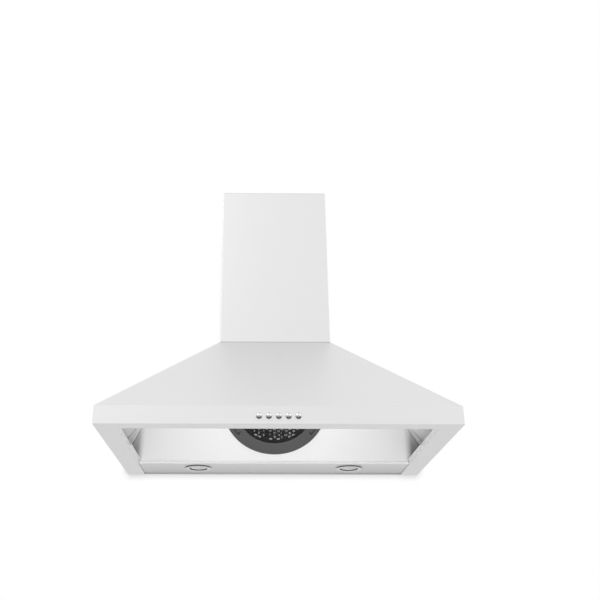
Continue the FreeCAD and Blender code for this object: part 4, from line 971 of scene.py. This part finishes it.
def lens_outline(sizes):
    """Half section of a lamp's lens: a shallow dome in front of a stepped rim."""
    edge = sizes.lamp_opening - 0.3 * MM
    across = np.linspace(0.0, edge, 24)
    dome = 0.9 * MM + 1.7 * MM * (across / edge) ** 4
    rim = [(edge, 3.7 * MM), (edge + 5.6 * MM, 3.7 * MM), (edge + 5.6 * MM, 5.7 * MM), (0.0, 5.7 * MM)]
    return np.vstack([np.column_stack([across, dome]), rim])


class HOOD_OT_lamps(bpy.types.Operator):
    """Turn the bezels and lenses of the two lamps, and finish their bodies and clips"""

    bl_idname = "hood.lamps"
    bl_label = "Lamps"

    def execute(self, context):
        sizes = context.scene.hood_sizes
        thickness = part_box("rear_light_strip")[0][2] - HOOD_BOTTOM
        for side in ("left", "right"):
            centre = node_centre("lamp_bezel_" + side)
            centre[2] = HOOD_BOTTOM
            bezel = turned_object(
                "bezel_" + side, bezel_outline(sizes, thickness), centre, (0, 0, 1), (1, 0, 0), 96
            )
            dress(bezel, bezel_metal(), "hood", "bright_chrome", "lamp_bezel_" + side)
            lens = turned_object(
                "lens_" + side, lens_outline(sizes), centre, (0, 0, 1), (1, 0, 0), 96, closed=False
            )
            dress(lens, lamp_glass(), "hood", "lamp_glass", "lamp_lens_" + side)
            paint(lamp_metal(), "lamp_body_" + side)
        paint(spring_steel(), "lamp_clips")
        return {"FINISHED"}


# Where a button's flange lies, measured outwards from the band.
FLANGE_START = -1.05 * MM
FLANGE_END = -2.05 * MM


def button_outline(sizes, tail):
    """Half section of a push-button: an elliptic dome, a skirt, a flange and a stem.

    The dome is r = R sin(a), h = top - dome + dome cos(a).
    """
    radius, dome = sizes.button_radius, sizes.button_dome
    top = 5.5 * MM
    turn = np.linspace(0.0, TURN / 4.0, 20)
    cap = np.column_stack([radius * np.sin(turn), top - dome + dome * np.cos(turn)])
    flange, stem, edge = sizes.flange_radius, sizes.stem_radius, 0.4 * MM
    rest = [
        (radius, 0.3 * MM), (radius, FLANGE_START), (flange, FLANGE_START), (flange, FLANGE_END),
        (stem, FLANGE_END), (stem, tail + edge), (stem - edge, tail), (0.0, tail),
    ]
    return np.vstack([cap, rest])


class HOOD_OT_buttons(bpy.types.Operator):
    """Turn the five domed push-buttons in bright chrome"""

    bl_idname = "hood.buttons"
    bl_label = "Push-buttons"

    def execute(self, context):
        sizes = context.scene.hood_sizes
        for index in range(1, 6):
            node = "button_%d" % index
            centre = node_centre(node)
            tail = -(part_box(node)[1][1] - HOOD_FRONT)
            centre[1] = HOOD_FRONT
            cap = turned_object(
                "button_cap_%d" % index, button_outline(sizes, tail), centre, (0, -1, 0), (1, 0, 0), 48,
                closed=False,
            )
            dress(cap, button_chrome(), node, "bright_chrome", node)
        return {"FINISHED"}


def coil_surface(sizes, start, run):
    """Points of a wire coil along the depth axis.

    The centre line is C(t) = start + R cos(t) x + R sin(t) z + run * t / (turns * 2 pi) y, and the
    wire is a circle round it: P = C + w cos(a) N + w sin(a) B, with N pointing at the coil's axis.
    """
    turns = sizes.spring_turns
    t = np.linspace(0.0, turns * TURN, int(turns * 28))
    a = np.linspace(0.0, TURN, 10, endpoint=False)
    big, wire = sizes.spring_radius, sizes.spring_wire
    zero = np.zeros_like(t)
    centre = np.column_stack([big * np.cos(t), run * t / (turns * TURN), big * np.sin(t)]) + start
    normal = np.column_stack([-np.cos(t), zero, -np.sin(t)])
    tangent = np.column_stack([-big * np.sin(t), zero + run / (turns * TURN), big * np.cos(t)])
    tangent /= np.linalg.norm(tangent, axis=1, keepdims=True)
    side = np.cross(tangent, normal)
    points = (
        centre[:, None]
        + wire * np.cos(a)[None, :, None] * normal[:, None]
        + wire * np.sin(a)[None, :, None] * side[:, None]
    )
    first = np.repeat(centre[:1, None], a.size, axis=1)
    last = np.repeat(centre[-1:, None], a.size, axis=1)
    return np.concatenate([first, points, last], axis=0)


class HOOD_OT_button_springs(bpy.types.Operator):
    """Wind the return springs behind the push-buttons"""

    bl_idname = "hood.button_springs"
    bl_label = "Button springs"

    def execute(self, context):
        sizes = context.scene.hood_sizes
        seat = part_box("switch_body")[0][1]
        flange_back = HOOD_FRONT - FLANGE_END
        room = seat - flange_back
        slack = sizes.spring_wire + 0.05 * MM
        for index in range(1, 6):
            start = node_centre("button_%d" % index)
            start[1] = flange_back + slack
            coil = grid_object(
                "return_spring_%d" % index, coil_surface(sizes, start, room - 2.0 * slack),
                wrap_columns=True, sharp_angle=math.radians(60),
            )
            dress(coil, spring_steel(), "hood", "spring_steel", "button_spring_%d" % index)
            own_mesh(coil)
        return {"FINISHED"}


class HOOD_OT_switch(PaintStep, bpy.types.Operator):
    """Finish the switch block and its bracket"""

    bl_idname = "hood.switch"
    bl_label = "Switch"
    painted = ((black_plastic, ("switch_body",)), (galvanised, ("switch_bracket",)))


class HOOD_OT_electrics(PaintStep, bpy.types.Operator):
    """Finish the wiring box, terminals, cable gland, capacitor and lamp supply"""

    bl_idname = "hood.electrics"
    bl_label = "Electrics"
    painted = (
        (galvanised, ("junction_box", "junction_box_lid", "capacitor_clip")),
        (black_plastic, ("cable_gland",)),
        (white_plastic, ("terminal_block", "run_capacitor", "lamp_driver")),
    )


class HOOD_OT_outlet(PaintStep, bpy.types.Operator):
    """Finish the duct collar, its gasket, and the damper's flaps and pin"""

    bl_idname = "hood.outlet"
    bl_label = "Air outlet"
    painted = (
        (black_plastic, ("duct_collar", "damper_flap_front", "damper_flap_rear")),
        (dark_rubber, ("collar_gasket",)),
        (fastener_steel, ("damper_pin",)),
    )


class HOOD_OT_fasteners(PaintStep, bpy.types.Operator):
    """Finish the screws and the wheel's nut"""

    bl_idname = "hood.fasteners"
    bl_label = "Fasteners"
    painted = ((fastener_steel, (
        "motor_screws", "junction_lid_screws", "switch_screws", "collar_screws", "chimney_screws",
        "impeller_nut",
    )),)


# ------------------------------------------------------------------ stage


def plane_object(name, corners, material):
    """A flat four-sided stage piece."""
    mesh = bpy.data.meshes.new(name)
    mesh.from_pydata([tuple(corner) for corner in corners], [], [(0, 1, 2, 3)])
    mesh.materials.append(material)
    piece = bpy.data.objects.new(name, mesh)
    bpy.context.scene.collection.objects.link(piece)


def stage_tree(name):
    """A new material that holds only its output, and its node tree."""
    material = bpy.data.materials.new(name)
    material.use_nodes = True
    tree = material.node_tree
    tree.nodes.clear()
    tree.nodes.new("ShaderNodeOutputMaterial")
    return material, tree


def wall_material():
    """White to the camera from in front, with a painted contact shadow close to the hood; clear to all
    other rays.
    """
    contact_shadow_tone, shadow_reach = 0.35, 0.02
    material, tree = stage_tree("white_wall")
    # Painted contact shadow: darker where the hood is close.
    near = add_node(tree, "ShaderNodeAmbientOcclusion", Distance=shadow_reach)
    near.samples = 16
    strength = map_range(tree, near.outputs["AO"], 0.0, 1.0, contact_shadow_tone, 1.0)
    white = add_node(tree, "ShaderNodeEmission", Strength=strength)
    clear = tree.nodes.new("ShaderNodeBsdfTransparent")
    behind = tree.nodes.new("ShaderNodeNewGeometry").outputs["Backfacing"]
    front = math_node(tree, "SUBTRACT", 1.0, behind)
    mix_surface(tree, product(tree, light_path_any(tree, "Is Camera Ray"), front), clear, white)
    return material


def floor_material():
    """A pale floor that keeps the hood's shadow and stays near white to the camera."""
    floor_tone, glow_share = 0.86, 0.55
    material, tree = stage_tree("pale_floor")
    matt = add_node(tree, "ShaderNodeBsdfDiffuse", Color=grey(floor_tone))
    glow = add_node(tree, "ShaderNodeEmission", Strength=1.0)
    seen = light_path_any(tree, "Is Camera Ray", "Is Glossy Ray", "Is Transmission Ray")
    mix_surface(tree, product(tree, seen, glow_share), matt, glow)
    return material


def white_world():
    """White to camera, mirror and glass rays, and a plain soft light to everything else."""
    soft_level = 0.72
    world = bpy.data.worlds.new("white_studio")
    bpy.context.scene.world = world
    world.use_nodes = True
    tree = world.node_tree
    seen = light_path_any(tree, "Is Camera Ray", "Is Glossy Ray", "Is Transmission Ray")
    strength = map_range(tree, seen, 0.0, 1.0, soft_level, 1.0)
    set_inputs(tree, node_of(tree, "BACKGROUND"), Color=grey(1.0), Strength=strength)


def area_light(name, place, aim, size, power):
    """A soft square lamp that looks at a point."""
    lamp = bpy.data.lights.new(name, "AREA")
    lamp.shape = "SQUARE"
    lamp.size = size
    lamp.energy = power
    holder = bpy.data.objects.new(name, lamp)
    holder.location = place
    holder.rotation_euler = (Vector(aim) - Vector(place)).to_track_quat("-Z", "Y").to_euler()
    bpy.context.scene.collection.objects.link(holder)


def add_camera(studio):
    """The photograph's viewpoint: in front of the hood and below it, looking up."""
    lens = bpy.data.cameras.new("camera")
    lens.sensor_width = 36.0
    lens.lens = studio.lens_mm
    lens.shift_x = studio.shift_x
    lens.shift_y = studio.shift_y
    lens.clip_start = 0.01
    lens.clip_end = 100.0
    camera = bpy.data.objects.new("camera", lens)
    camera.location = (
        studio.camera_x,
        HOOD_FRONT - studio.camera_distance,
        HOOD_BOTTOM - studio.camera_drop,
    )
    camera.rotation_euler = (math.pi / 2.0 + studio.camera_pitch, 0.0, -studio.camera_yaw)
    bpy.context.scene.collection.objects.link(camera)
    bpy.context.scene.camera = camera


class HOOD_OT_stage(bpy.types.Operator):
    """Set up the floor, the wall, the lights and the camera"""

    bl_idname = "hood.stage"
    bl_label = "Stage"

    def execute(self, context):
        studio = context.scene.hood_studio
        scene = context.scene
        scene.view_settings.view_transform = "Standard"
        white_world()
        floor_level = HOOD_BOTTOM - studio.floor_drop
        floor_reach, wall_reach, wall_rise = 12.0, 3.0, 2.0
        corners = ((-1, -1), (1, -1), (1, 1), (-1, 1))
        floor = [(floor_reach * x, floor_reach * y, floor_level) for x, y in corners]
        plane_object("floor", floor, floor_material())
        wall_y = FRAME_BOX[1][1] + studio.wall_gap
        levels = {-1: floor_level, 1: FRAME_BOX[1][2] + wall_rise}
        wall = [(wall_reach * x, wall_y, levels[z]) for x, z in corners]
        plane_object("wall", wall, wall_material())
        hood = (0.0, -0.25, 0.0)
        under_place = (0.0, -0.75, floor_level + 0.05)
        for light in (
            ("key", (-1.6, -2.2, 1.7), hood, 1.6, 14.0),
            ("fill", (1.9, -1.5, 0.9), hood, 1.8, 6.0),
            ("back", (0.6, 2.2, 1.4), (0.0, 0.0, 0.1), 1.6, 8.0),
            ("under", under_place, (0.0, -0.2, -0.15), 0.6, 4.5),
        ):
            area_light(*light)
        add_camera(studio)
        return {"FINISHED"}


# ------------------------------------------------------------------ panel and registration

STEPS = (
    HOOD_OT_outer_sheets,
    HOOD_OT_underside_sheets,
    HOOD_OT_back_sheets,
    HOOD_OT_inlet,
    HOOD_OT_blower,
    HOOD_OT_motor,
    HOOD_OT_lamps,
    HOOD_OT_buttons,
    HOOD_OT_button_springs,
    HOOD_OT_switch,
    HOOD_OT_electrics,
    HOOD_OT_outlet,
    HOOD_OT_fasteners,
    HOOD_OT_stage,
)


class HOOD_PT_panel(bpy.types.Panel):
    """Lists the hood's operators and settings"""

    bl_idname = "HOOD_PT_panel"
    bl_label = "Chimney range hood"
    bl_space_type = "VIEW_3D"
    bl_region_type = "UI"
    bl_category = "Hood"

    def draw(self, context):
        for step in STEPS:
            self.layout.operator(step.bl_idname)
        for group in (context.scene.hood_sizes, context.scene.hood_finish, context.scene.hood_studio):
            box = self.layout.box()
            for label in group.__annotations__:
                box.prop(group, label)


SETTINGS = (("hood_sizes", HoodSizes), ("hood_finish", HoodFinish), ("hood_studio", StudioSettings))


def register():
    for label, group in SETTINGS:
        bpy.utils.register_class(group)
        setattr(bpy.types.Scene, label, bpy.props.PointerProperty(type=group))
    for step in STEPS:
        bpy.utils.register_class(step)
    bpy.utils.register_class(HOOD_PT_panel)


def unregister():
    bpy.utils.unregister_class(HOOD_PT_panel)
    for step in reversed(STEPS):
        bpy.utils.unregister_class(step)
    for label, group in reversed(SETTINGS):
        delattr(bpy.types.Scene, label)
        bpy.utils.unregister_class(group)


def main():
    register()
    for step in STEPS:
        family, name = step.bl_idname.split(".")
        getattr(getattr(bpy.ops, family), name)()


if __name__ == "__main__":
    main()
